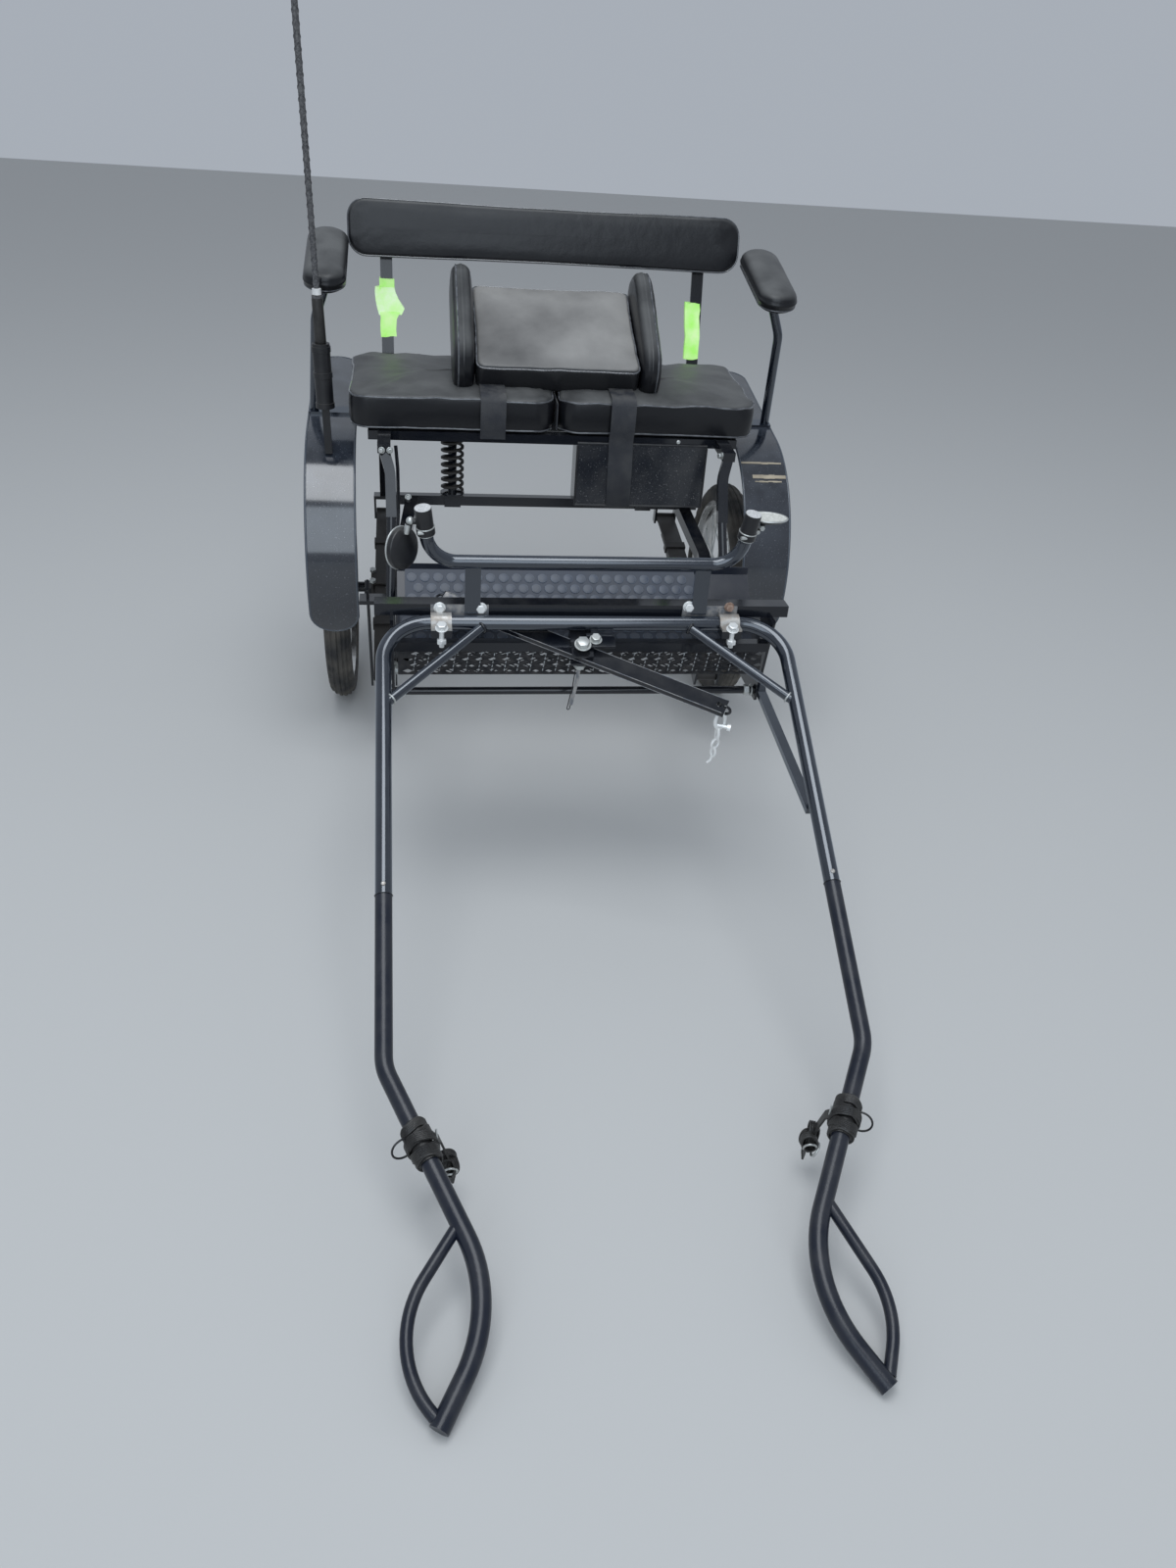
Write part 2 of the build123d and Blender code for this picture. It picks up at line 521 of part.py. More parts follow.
def make_seat():
    seat = Pos(0, SEAT_FRONT_Y, SEAT_Z) * Rot(X=SEAT_TILT)
    depth = SEAT_DEPTH
    for y in (16, depth - 20):
        add("seat_frame", seat * block(0, y, -9, 2 * 372, 25, 18))
    for s in SIDES.values():
        reach = POST_Y - SEAT_FRONT_Y + 8
        add("seat_frame", seat * block(s * 340, (reach - 72) / 2, -9, 25, reach + 72, 18))
    add("seat_frame", seat * block(0, 95, -9, 2 * 340, 25, 18))
    for side, s in SIDES.items():
        width = SEAT_HALF - CUSHION_GAP
        cushion = Box(width, depth, CUSHION_T)
        cushion = fillet(cushion.edges().filter_by(Axis.Z), 34)
        cushion = fillet(cushion.faces().sort_by(Axis.Z)[-1].edges(), 14)
        nodes[f"seat_cushion_{side}"] = seat * Pos(s * (CUSHION_GAP + width / 2), depth / 2, CUSHION_T / 2 + 0.3) * cushion
    booster = Pos(4, SEAT_FRONT_Y + 50, SEAT_Z + 118) * Rot(X=BOOSTER_TILT) * Pos(0, 118, -24)
    nodes["booster_pad"] = booster * rounded(Box(*BOOSTER), 12)
    for side, s in SIDES.items():
        wing = Pos(4 + s * (BOOSTER[0] / 2 + 22.4), SEAT_FRONT_Y + 168, SEAT_Z + 165) * Rot(X=34)
        shape = extrude(Plane.YZ * SlotOverall(300, 132), amount=22, both=True)
        add("booster_wings", wing * rounded(shape, 14))
    back = Pos(0, BACK_Y, BACK_Z) * Rot(X=BACK_TILT)
    pad = Box(2 * BACK_HALF, BACK_T, BACK_H)
    pad = fillet(pad.edges().filter_by(Axis.Y), 38)
    nodes["backrest_pad"] = back * rounded(pad, 12)
    for side, s in SIDES.items():
        x = s * BACK_BAR_X
        nodes[f"back_upright_{side}"] = bar((x, 6.8, SEAT_Z - 22), (x, BACK_Y + BACK_T / 2 + 5, BACK_Z + 30), 25, 6)
        arm = Pos(s * ARM_X, ARM_Y, ARM_Z) * Rot(X=15)
        pad = extrude(SlotOverall(250, 84, rotation=90), amount=21, both=True)
        nodes[f"arm_pad_{side}"] = arm * rounded(pad, 14)
        foot = (s * (FENDER_X + 38), BRACKET_Y, bracket_z() + 2)
        knee = (s * (FENDER_X + 20), -150, 880)
        top = (s * ARM_X, -150, ARM_Z - 36)
        add(f"arm_tube_{side}", rod([foot, knee, top], 9.5, [bend_in_runs(foot, knee, top, 60)]))
    box_y = REAR_BAR_Y - SPRING_R - 9 - BOX_DEPTH / 2
    nodes["storage_box"] = block(sum(BOX_X) / 2, box_y, sum(BOX_Z) / 2, BOX_X[1] - BOX_X[0], BOX_DEPTH, BOX_Z[1] - BOX_Z[0])
    for side in SIDES:
        for soft in ("booster_pad", "booster_wings"):
            nodes[soft] -= nodes[f"seat_cushion_{side}"]
        nodes[f"arm_tube_{side}"] -= nodes[f"arm_pad_{side}"]
        nodes[f"back_upright_{side}"] -= nodes["backrest_pad"]
        nodes[f"arm_tube_{side}"] -= nodes["seat_frame"]
        nodes[f"side_bar_{side}"] -= nodes["seat_frame"]
        nodes[f"back_upright_{side}"] -= nodes["seat_frame"]
    nodes["seat_frame"] -= nodes["shackles"]
    nodes["dampers"] -= nodes["seat_frame"]
    nodes["storage_box"] -= nodes["seat_frame"]


def make_details():
    swing = Pos(*PIVOT) * Rot(X=SWING_TILT) * Rot(Z=SWING_YAW)
    tree = Box(2 * SWING_HALF, SWING_W, SWING_T)
    tree -= Cylinder(PIVOT_R + RUN, 40)
    for s in SIDES.values():
        tree -= Pos(s * EYE_X, 0, 0) * Cylinder(EYE_R, 40)
    nodes["swingletree"] = swing * tree
    base = Pos(*PIVOT) * Rot(X=SWING_TILT)
    pin = base * Cylinder(PIVOT_R, 50)
    pin += base * Pos(0, 0, 22) * extrude(RegularPolygon(11, 6), amount=7)
    pin += base * Pos(0, 0, -33) * extrude(RegularPolygon(10, 6), amount=8)
    gap = SWING_T / 2 + 2
    for z in (gap + 2.5, -gap - 2.5):
        pin += base * Pos(0, 13, z) * Box(36, 62, 5)
    pin += base * Pos(0, 41, 0) * Box(36, 6, 2 * gap)
    pin -= block(0, LIP_Y, LIP_Z, 200, 20.2, 16.2)
    nodes["swing_bracket"] = pin
    stand = Plane(HOLDER_LOW, z_dir=WHIP_RUN)
    holder = extrude(stand * Circle(17), amount=118) - extrude(stand * Pos(0, 0, 4) * Circle(10.3), amount=120)
    holder += bar(HOLDER_FOOT, Vector(*HOLDER_LOW) + Vector(0, 0, 3), 14, 14)
    nodes["whip_holder"] = (holder - nodes["fender_left"]).solids().sort_by(SortBy.VOLUME)[-1]
    whip = extrude(stand * Pos(0, 0, 4.1) * Circle(10), amount=200)
    whip += stand * Pos(0, 0, 204 + WHIP_LEN / 2) * Cone(5.2, 6, WHIP_LEN)
    nodes["whip"] = whip
    for side, s in SIDES.items():
        center = Vector(*MIRROR_AT[side])
        mirror = Plane(center, z_dir=MIRROR_FACE[side]) * fillet(Cylinder(MIRROR_R, MIRROR_T).edges(), 4)
        if s < 0:
            neck = [center + Vector(5, 0, 26), center + Vector(13, -2, 46), center + Vector(40, -5, 43)]
            mirror += rod(neck, 4.5, [10])
        else:
            mirror += rod([center + Vector(-4, -2, -3), center + Vector(-9, -6, -15), center + Vector(-41, -34, -14)], 4.5, [8])
        mirror -= nodes["dash_rail"]
        mirror -= nodes["dash_grips"]
        nodes[f"mirror_{side}"] = mirror
    rows = []
    for i in range(26):
        for j in range(4):
            y = -16 + 10.8 * j
            rows.append(Pos(-300 + 24 * (i + 0.5 * (j % 2)), y) * Polygon((-9.5, 0), (0, -3.9), (9.5, 0), (0, 3.9)))
    mesh = Rectangle(2 * LIP_HALF - 12, 45) - rows
    mesh = extrude(Plane((0, LIP_Y - 2, LIP_Z - 31), x_dir=(1, 0, 0), z_dir=(0, -1, 0)) * mesh, amount=2)
    nodes["mesh_panel"] = mesh
    for side, s in SIDES.items():
        run = Vector(s * (WAIST_X[side] - LEG_X), WAIST_Y - BEND_Y, end_z(WAIST_Y) - BEND_Z)
        place = Plane((s * shaft_x(side, TUG_Y), TUG_Y, end_z(TUG_Y)), z_dir=run)
        sleeve = Circle(TUBE_R + 6.3) - Circle(TUBE_R + FIT)
        nodes[f"tug_strap_{side}"] = extrude(place * sleeve, amount=27, both=True)


make_shafts()
make_clamps_and_stays()
make_front()
make_floor()
make_chassis()
make_springs()
make_wheels()
make_fenders()
make_seat()
make_details()

front = min(shape.bounding_box().min.Y for shape in nodes.values())
back = max(shape.bounding_box().max.Y for shape in nodes.values())
AXLE_Y = -(front + back) / 2
os.makedirs("parts", exist_ok=True)
for name, shape in nodes.items():
    export_step(Pos(0, AXLE_Y, 0) * shape, f"parts/{name}.step")
print("nodes", len(nodes), "axle at Y", round(AXLE_Y, 3))
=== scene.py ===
import bpy
import random
from math import cos, pi, radians, sin, tan
from mathutils import Matrix, Vector, noise


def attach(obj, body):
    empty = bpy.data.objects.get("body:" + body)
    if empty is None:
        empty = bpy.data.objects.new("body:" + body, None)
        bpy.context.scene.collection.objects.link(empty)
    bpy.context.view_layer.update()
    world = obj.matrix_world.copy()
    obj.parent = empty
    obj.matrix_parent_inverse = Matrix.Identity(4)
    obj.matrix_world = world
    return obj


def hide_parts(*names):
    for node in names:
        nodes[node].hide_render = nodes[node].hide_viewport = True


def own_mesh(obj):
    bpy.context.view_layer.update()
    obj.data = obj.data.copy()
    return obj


# Camera, in metres and in the row frame: the place, and the ways it looks and holds its top
AXLE_Y = 793.498
CAMERA_AT = (-0.28926, -2.63045 + AXLE_Y / 1000, 1.31974)
CAMERA_RIGHT = (0.989215, -0.132199, 0.063063)
CAMERA_DOWN = (-0.015419, -0.522148, -0.852715)
CAMERA_AHEAD = (0.145656, 0.842546, -0.518555)
LENS = 26.827
SIDES = (("left", -1), ("right", 1))

# Wheels and springs
WHEEL_X = 455.0
WHEEL_R = 256.0
AXLE_Z = 256.0
TYRE_CORE = 30.0
RIM_FLANGE_R = 214.0
HUB_HALF = 30.0
# Tread: points round the wheel and over the tyre, and the angles of its edge, crown, shoulder and grooves
TREAD_COUNT, TREAD_STEPS = 168, 44
TREAD_EDGE, CROWN, SHOULDER, GROOVE_HALF = 112, 70, 44, 4
GROOVES = (-44, -22, 0, 22, 44)
GROOVE_DEEP, BLOCK_DEEP, SIPE_DEEP, WALL_STEP = 2.6, 2.4, 1.6, 1.0
BEAD_X, BEAD_R = 19.0, 207.0
STUB_END = 494.0
LEAF_X = 360.0
LEAF_SHIFT = 6.0
LEAF_W = 45.0
LEAF_TILT = 16.4
BEAM_TOP = 7.15
LEAF_STACK = 18.0
U_BOLT_Y, LEAF_CLIP_Y = 20.0, 150.0
SPRING_PLATE = (LEAF_W + 18, 52.0, 5.0)

# Shaft frame
CROSS_Y, CROSS_Z = -830.0, 530.0
LEG_X = 338.0
LEG_FALL = 0.573
LEG_RUN = (0.0, -0.8676, -0.4971)
LEG_UP = (0.0, -0.4971, 0.8676)
TUBE_R = 12.5
BRACE_R = 8.0
BRACE_X = 167.0
BRACE_Y = -970.0
SPLICE_Y = -1253.0
TAB_Y = -1116.0
TUG_Y, TUG_Z = -1573.0, 125.0
TUG_X = {"left": 289.5, "right": 282.1}
TUG_IN = {"left": 138.0, "right": 159.0}
TUG_RUN = (-293.0, -106.6)
TUG_HALF = 26.0
# Turns of leather: how far along the shaft, how each leans up and inwards, and how far it stands out
TUG_TURNS = ((-20, 0.25, 0.1, 1.5), (-9, -0.1, 0.3, 3), (1, 0.3, -0.2, 4.5), (11, -0.2, 0.1, 2.5),
             (20, 0.15, -0.1, 1))
TUG_CORDS = (-5, -2.5, 0, 2.5, 5)
KNOT_IN, KNOT_DROP = 38.0, 58.0

# Front of the body
RAIL_FACE_Y = -818.0
# Bolts on the rail's face, in X and Z
RAIL_BOLTS = ((-246.0, 551.0), (-178.0, 551.0), (175.0, 556.0))
RUSTY_BOLT = (246.0, 556.0)
CLAMP_X = 244.0
CLAMP_BOLT_Y = -862.0
STRAP_TOP_Z = 533.5
CLAMP_SHANK_Z, CLAMP_NUT_Z = 501.0, 506.5
DASH_Y = -821.3
DASH_R = 11.0
DASH_SHIFT = -6.0
GRIP_HALF = 264.5
GRIP_END = (-14.0, 710.0)
GRIP_LEAN = (9.0, -14.0, 77.0)
GRIP_LEN = 16.0
LIP_Y, LIP_Z = -816.0, 483.0
ROD_Y, ROD_Z, ROD_R = -780.0, 378.0, 7.0
PLATE_X = 325.0
MAT_FOOT = (-805.8, 488.05)
MAT_RUNS = ((95.0, 17.0, -312.0, 300.0), (66.0, 42.0, -303.0, 216.0))
STUD_PITCH, STUD_ROW, STUD_R = 23.0, 20.0, 8.7
STUD_START = 9.0
# Extra strands of the mesh, which make it denser and also darken its holes as painted shade from behind: their number,
# how far apart in Z, and the step and height of their zigzag
STRANDS, STRAND_PITCH, STRAND_STEP, STRAND_WAVE = 9, 4.7, 11.0, 2.2
STRAND_START, STRAND_POINTS = -297.0, 55
# Painted highlights on the mesh, where its strands catch the light: their number along and down, where they start, and
# how far apart they are
GLINTS, GLINT_ROWS, GLINT_START, GLINT_STEP, GLINT_PITCH = 27, 5, -286.0, 22.0, 7.2
PIVOT = (-10.5, -858.0, 487.9)
SWING_TILT, SWING_YAW = 25.0, -27.5
EYE_X = 247.0
BAR_HALF = (256.0, 15.0, 5.0)
# Links of the trace chain: how far down, how tall and wide, how thick, and which way each faces
LINKS = ((16, 30, 19, 3.3, 0.35), (41, 21, 10, 2.7, 1.75), (60, 17, 17, 2.3, 0.6), (76, 18, 9, 2.2, 2.2))
MIRROR_AT = {"left": (-305.0, -829.0, 657.0), "right": (296.0, -797.0, 706.0)}
MIRROR_FACE = {"left": (-0.77, 0.63, -0.085), "right": (0.014, 0.043, 1.0)}
MIRROR_R, MIRROR_T = 34.0, 12.0
# The right mirror's shell and the left one's back: how far along the axis, and the radius there
MIRROR_HEAD = ((-9, 6), (-7.5, 18), (-4.5, 28), (-1.5, MIRROR_R - 1), (0, MIRROR_R - 0.6), (0.8, MIRROR_R - 1.4))
MIRROR_BACK = ((0, MIRROR_R - 1), (2.2, MIRROR_R - 4), (4.2, MIRROR_R - 10), (5.4, 14), (5.8, 3))

# Seat
SEAT_AT = (0.0, -290.0, 697.0)
SEAT_TILT = 4.0
SEAT_DEPTH = 300.0
CUSHION_W, CUSHION_T, CUSHION_GAP = 404.0, 70.0, 4.0
BOOSTER = (330.0, 264.0, 54.0)
BOOSTER_TILT = 28.0
WING_LEN, WING_W, WING_T = 300.0, 132.0, 44.0
BACK_HALF, BACK_H, BACK_T = 413.0, 110.0, 50.0
BACK_AT = (0.0, 48.0, 1021.0)
BACK_TILT = -10.0
ARM_AT = (447.0, -100.0, 978.0)
ARM_TILT = 15.0
ARM_HALF = (40.0, 122.0)
UPRIGHT_X = 334.0
UPRIGHT_FOOT = (6.8, 675.0)
UPRIGHT_RISE = 0.1894
BOX_FRONT_Y = -287.0
BOX_LOW_Z = 555.0
BOX_TOP_Z = 684.0
BOX_ENDS = (44.0, 311.0)
# Webbing: the X and the low end of each strap, and its run over the front of the seat in Y and Z
WEBS = ((-128.0, 694.0), (131.0, BOX_LOW_Z - 4))
WEB_RUN = ((-232, 781), (-262, 779), (-286, 776), (-297, 770), (-301, 760), (-301, 735), (-299, 712),
           (-293, 699))
WEB_TURN_Z = 688.0
WEB_W, WEB_T = 50.0, 1.6
GAP_RUN = ((-284, 733), (-140, 743), (4, 753))
TAPE_DEEP = 5.2
HOLDER_LOW = (-454.0, -238.0, 730.0)
WHIP_RUN = (-0.022, -0.033, 1.0)
BRAID_LOW, BRAID_LEN, BRAID_TURNS, BRAID_STEPS = 218.0, 880.0, 24, 420

# Fenders
FENDER_X, FENDER_W, FENDER_T = 450.0, 100.0, 3.0
FENDER_R = 260.0
FENDER_Y = -100.0
FENDER_TOP = 665.2
FENDER_LOW, FENDER_SLOPE = 207.5, 11.0
FENDER_BACK_Y = 200.0
EDGE_R = 2.7
# Scuffs on the right fender: from X to X, how far along the fender, and how deep
SCUFFS = ((404, 491, 396, 5), (424, 496, 358, 9), (428, 486, 349, 3))
FENDER_Z = FENDER_TOP - FENDER_R * cos(radians(FENDER_SLOPE))


def place(p):
    """Millimetres from the axle to metres in the row frame."""
    return Vector((p[0], p[1] + AXLE_Y, p[2])) / 1000


def frame_of(axis):
    """Two directions square to an axis, and the axis itself."""
    axis = Vector(axis).normalized()
    hint = Vector((0, 0, 1))
    if abs(axis.dot(hint)) > 0.95:
        hint = Vector((1, 0, 0))
    side = hint.cross(axis).normalized()
    return side, axis.cross(side).normalized(), axis


def turned(x=0.0, y=0.0, z=0.0):
    """A rotation from angles in degrees about X, then Y, then Z."""
    turn = Matrix.Rotation(radians(z), 3, "Z") @ Matrix.Rotation(radians(y), 3, "Y")
    return turn @ Matrix.Rotation(radians(x), 3, "X")


def rounded_path(points, radius, steps=8):
    """Straight runs with arcs at their corners."""
    points = [Vector(p) for p in points]
    path = [points[0]]
    for before, corner, after in zip(points, points[1:], points[2:]):
        a, b = (before - corner).normalized(), (after - corner).normalized()
        half = a.angle(b) / 2
        back = radius / tan(half)
        start, end = corner + a * back, corner + b * back
        centre = corner + (a + b).normalized() * (radius / sin(half))
        for i in range(steps + 1):
            t = i / steps
            spoke = (start - centre).lerp(end - centre, t).normalized()
            path.append(centre + spoke * radius)
    return path + [points[-1]]


def circle_path(centre, axis, radius, count=24):
    """A closed circle about an axis."""
    side, up, _ = frame_of(axis)
    return [Vector(centre) + side * (radius * cos(radians(360.0 * i / count)))
            + up * (radius * sin(radians(360.0 * i / count))) for i in range(count)]


def oval_path(centre, across, half_wide, half_tall, count=24):
    """A closed upright oval, as wide and tall on each side of its centre as said."""
    return [centre + across * (half_wide * cos(a)) + Vector((0, 0, half_tall)) * sin(a)
            for a in (2 * pi * k / count for k in range(count))]


class Piece:
    """One shown piece, heaped up from simple shapes in millimetres from the axle."""

    def __init__(self, name, material, body="chassis"):
        self.name, self.material, self.body = name, material, body
        self.verts, self.faces = [], []

    def add(self, verts, faces):
        """Adds points and the faces between them."""
        base = len(self.verts)
        self.verts += [place(v) for v in verts]
        self.faces += [[base + i for i in face] for face in faces]
        return self

    def rings(self, rings, closed=False):
        """Skins a row of rings that all have the same number of points."""
        count = len(rings[0])
        faces = []
        last = len(rings) if closed else len(rings) - 1
        for i in range(last):
            j = (i + 1) % len(rings)
            for k in range(count):
                n = (k + 1) % count
                faces.append([i * count + k, i * count + n, j * count + n, j * count + k])
        if not closed:
            faces.append(list(range(count))[::-1])
            faces.append([(len(rings) - 1) * count + k for k in range(count)])
        return self.add([v for ring in rings for v in ring], faces)

    def tube(self, path, radius, sides=12, closed=False):
        """A round bar along a path. The radius is one value, or one for each point."""
        path = [Vector(p) for p in path]
        count = len(path)
        side = None
        rings = []
        for i, p in enumerate(path):
            if closed:
                ahead = path[(i + 1) % count] - path[i - 1]
            else:
                ahead = path[min(i + 1, count - 1)] - path[max(i - 1, 0)]
            ahead.normalize()
            if side is None:
                side, up, _ = frame_of(ahead)
            up = ahead.cross(side).normalized()
            side = up.cross(ahead).normalized()
            r = radius[i] if isinstance(radius, (list, tuple)) else radius
            rings.append([p + side * (r * cos(2 * pi * k / sides)) + up * (r * sin(2 * pi * k / sides))
                          for k in range(sides)])
        return self.rings(rings, closed)

    def lathe(self, start, axis, profile, sides=24):
        """Turns a profile of (distance along, radius) about an axis."""
        side, up, axis = frame_of(axis)
        rings = []
        for along, r in profile:
            centre = Vector(start) + axis * along
            rings.append([centre + side * (r * cos(2 * pi * k / sides)) + up * (r * sin(2 * pi * k / sides))
                          for k in range(sides)])
        return self.rings(rings)

    def band(self, centre, axis, profile, sides=48):
        """A closed ring profile of (distance along, radius) turned about an axis."""
        side, up, axis = frame_of(axis)
        rings = []
        for k in range(sides):
            a = 2 * pi * k / sides
            out = side * cos(a) + up * sin(a)
            rings.append([Vector(centre) + axis * along + out * r for along, r in profile])
        return self.rings(rings, closed=True)

    def bolt(self, at, out, across, head):
        """A hexagon head on its washer, standing out from a surface."""
        out = Vector(out).normalized()
        r = across / 2 / cos(pi / 6)
        washer = 1.4
        self.lathe(at, out, [(0, r * 1.25), (washer, r * 1.25)], 20)
        return self.lathe(at, out, [(washer, r), (head, r), (head + 0.8, r * 0.82)], 6)

    def box(self, centre, size, turn):
        """A turned box."""
        x, y, z = (v / 2 for v in size)
        corners = [(i * x, j * y, k * z) for k in (-1, 1) for i, j in ((-1, -1), (1, -1), (1, 1), (-1, 1))]
        verts = [Vector(centre) + turn @ Vector(c) for c in corners]
        sides = [[i, (i + 1) % 4, (i + 1) % 4 + 4, i + 4] for i in range(4)]
        return self.add(verts, [[3, 2, 1, 0], [4, 5, 6, 7]] + sides)

    def strip(self, path, width, thick, across=(1, 0, 0)):
        """A flat strap along a path, level across the given direction."""
        path = [Vector(p) for p in path]
        across = Vector(across).normalized()
        rings = []
        for i, p in enumerate(path):
            ahead = (path[min(i + 1, len(path) - 1)] - path[max(i - 1, 0)]).normalized()
            up = ahead.cross(across).normalized()
            side = up.cross(ahead).normalized() * (width / 2)
            up *= thick / 2
            rings.append([p - side - up, p + side - up, p + side + up, p - side + up])
        return self.rings(rings)

    def made(self, smooth=35.0, bevel=0.0):
        """Makes the object, smooth up to an angle and bevelled by a width, and puts it on its body."""
        mesh = bpy.data.meshes.new(self.name)
        mesh.from_pydata(self.verts, [], self.faces)
        mesh.materials.append(self.material)
        mesh.validate()
        obj = bpy.data.objects.new(self.name, mesh)
        bpy.context.scene.collection.objects.link(obj)
        if smooth:
            mesh.shade_smooth()
            mesh.set_sharp_from_angle(angle=radians(smooth))
        if bevel:
            cut = obj.modifiers.new("edges", "BEVEL")
            cut.width, cut.segments, cut.limit_method = bevel / 1000, 2, "ANGLE"
            cut.angle_limit = radians(30)
        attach(obj, self.body)
        return obj


def finish_of(name, color, rough, metal=0.0, coat=0.0, coat_ior=1.5, coat_tint=(1, 1, 1), specular=0.5,
              dust_and_sheen=(0.23, 0.22, 0.2), dust_and_sheen_top=0.0, dust_and_sheen_all=0.0, grain=30.0, bump=0.0, bump_size=200.0, glow=0.0,
              spots=None, even=False):
    """A material with dust on tops and in patches, a painted sheen in some finishes, all placed by the object's own
    coordinates.
    """
    mat = bpy.data.materials.new(name)
    mat.use_nodes = True
    tree = mat.node_tree
    link, new = tree.links.new, tree.nodes.new
    shader = tree.nodes["Principled BSDF"]
    for socket, value in (("Metallic", metal), ("Coat Weight", coat), ("Coat Roughness", 0.12), ("Coat IOR", coat_ior),
                          ("Coat Tint", (*coat_tint, 1)), ("Specular IOR Level", specular)):
        shader.inputs[socket].default_value = value
    where = new("ShaderNodeTexCoord")

    def texture(scale, detail):
        """A cloudy pattern."""
        cloud = new("ShaderNodeTexNoise")
        cloud.inputs["Scale"].default_value = scale
        cloud.inputs["Detail"].default_value = detail
        link(where.outputs["Object"], cloud.inputs["Vector"])
        return cloud.outputs["Fac"]

    def ramp(value, low, high, to_low=0.0, to_high=1.0):
        """A value carried from one range over to another."""
        scaled = new("ShaderNodeMapRange")
        for socket, limit in (("From Min", low), ("From Max", high), ("To Min", to_low), ("To Max", to_high)):
            scaled.inputs[socket].default_value = limit
        link(value, scaled.inputs["Value"])
        return scaled.outputs["Result"]

    def blend(factor, over):
        """A mix that lays a colour over whatever comes in below."""
        mix = new("ShaderNodeMix")
        mix.data_type = "RGBA"
        mix.inputs["B"].default_value = (*over, 1)
        link(factor, mix.inputs["Factor"])
        return mix

    normal = new("ShaderNodeNewGeometry")
    split = new("ShaderNodeSeparateXYZ")
    link(normal.outputs["Normal"], split.inputs["Vector"])
    patches = ramp(texture(grain, 6), *((0.1, 0.62) if even else (0.38, 0.68)))
    amount = new("ShaderNodeMath")
    amount.operation = "MULTIPLY"
    link(patches, amount.inputs[0])
    # Faces that look up get more of the laid-on colour: dust, and in some finishes a painted sheen
    link(ramp(split.outputs["Z"], 0.25, 0.95, dust_and_sheen_all, dust_and_sheen_top), amount.inputs[1])
    dust_and_sheen_mix = blend(amount.outputs["Value"], dust_and_sheen)
    dust_and_sheen_mix.inputs["A"].default_value = (*color, 1)
    out = dust_and_sheen_mix.outputs["Result"]
    if spots:
        spotted = blend(ramp(texture(420, 2), 0.66, 0.72), spots)
        link(out, spotted.inputs["A"])
        out = spotted.outputs["Result"]
    link(out, shader.inputs["Base Color"])
    dull = ramp(amount.outputs["Value"], 0.0, 1.0, rough, min(1.0, rough + 0.35))
    link(dull, shader.inputs["Roughness"])
    if bump:
        relief = new("ShaderNodeBump")
        relief.inputs["Strength"].default_value = bump
        relief.inputs["Distance"].default_value = 0.002
        link(texture(bump_size, 4), relief.inputs["Height"])
        link(relief.outputs["Normal"], shader.inputs["Normal"])
    if glow:
        link(out, shader.inputs["Emission Color"])
        shader.inputs["Emission Strength"].default_value = glow
    return mat


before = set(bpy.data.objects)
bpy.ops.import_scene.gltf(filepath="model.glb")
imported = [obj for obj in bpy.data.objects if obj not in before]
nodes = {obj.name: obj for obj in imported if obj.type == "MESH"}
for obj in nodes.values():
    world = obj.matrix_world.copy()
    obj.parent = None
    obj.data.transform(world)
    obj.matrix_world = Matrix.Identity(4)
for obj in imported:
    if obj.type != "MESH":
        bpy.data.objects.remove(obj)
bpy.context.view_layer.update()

# Materials: the base colour, its roughness, and the dust on tops and all over; some of these colours are painted
# highlights and sheens, noted below
PAINT = finish_of("paint", (0.0055, 0.0068, 0.0105), 0.12, coat=0.45, specular=0.3, dust_and_sheen_top=0.07, dust_and_sheen_all=0.008)
# Satin paint: its blue tint is a painted sky sheen on the black shaft ends and tray
SATIN_AND_BLUE_SHEEN = finish_of("satin_paint_and_blue_sheen", (0.0048, 0.0079, 0.0176), 0.3, dust_and_sheen_top=0.08, dust_and_sheen_all=0.02, bump=0.08, bump_size=300)
# Tube paint: its blue coat tint and slightly blued colour are a painted sky reflection on the black tubes
TUBE_PAINT_AND_BLUE_SHEEN = finish_of("tube_paint_and_blue_sheen", (0.0055, 0.0075, 0.012), 0.14, coat=1.0, coat_ior=1.66, coat_tint=(0.72, 0.84, 1.0),
                 dust_and_sheen_top=0.06, dust_and_sheen_all=0.01)
# Fender rims: lighter and bluer than the black paint, a painted highlight along the rolled edges
EDGE_HIGHLIGHT = finish_of("edge_highlight", (0.05, 0.062, 0.08), 0.25, coat=0.6, dust_and_sheen_top=0.1, dust_and_sheen_all=0.05)
WORN = finish_of("worn_paint", (0.16, 0.17, 0.19), 0.3, metal=0.4, dust_and_sheen=(0.5, 0.47, 0.43), dust_and_sheen_top=0.7, dust_and_sheen_all=0.6,
                 grain=110, bump=0.2, bump_size=500)
ZINC = finish_of("zinc", (0.56, 0.58, 0.57), 0.34, metal=0.75, dust_and_sheen=(0.36, 0.33, 0.28), dust_and_sheen_top=0.3, dust_and_sheen_all=0.25,
                 grain=60)
BRIGHT = finish_of("bright_zinc", (0.86, 0.87, 0.86), 0.3, metal=0.4, dust_and_sheen=(0.5, 0.48, 0.44), dust_and_sheen_top=0.2,
                   dust_and_sheen_all=0.15, grain=80)
STRAP = finish_of("strap_metal", (0.46, 0.45, 0.43), 0.36, metal=0.6, dust_and_sheen=(0.3, 0.24, 0.19), dust_and_sheen_top=0.6,
                  dust_and_sheen_all=0.55, grain=95, bump=0.15, bump_size=400)
RUST = finish_of("rust", (0.42, 0.31, 0.25), 0.7, metal=0.5, dust_and_sheen=(0.2, 0.1, 0.06), dust_and_sheen_top=0.8, dust_and_sheen_all=0.6,
                 grain=160)
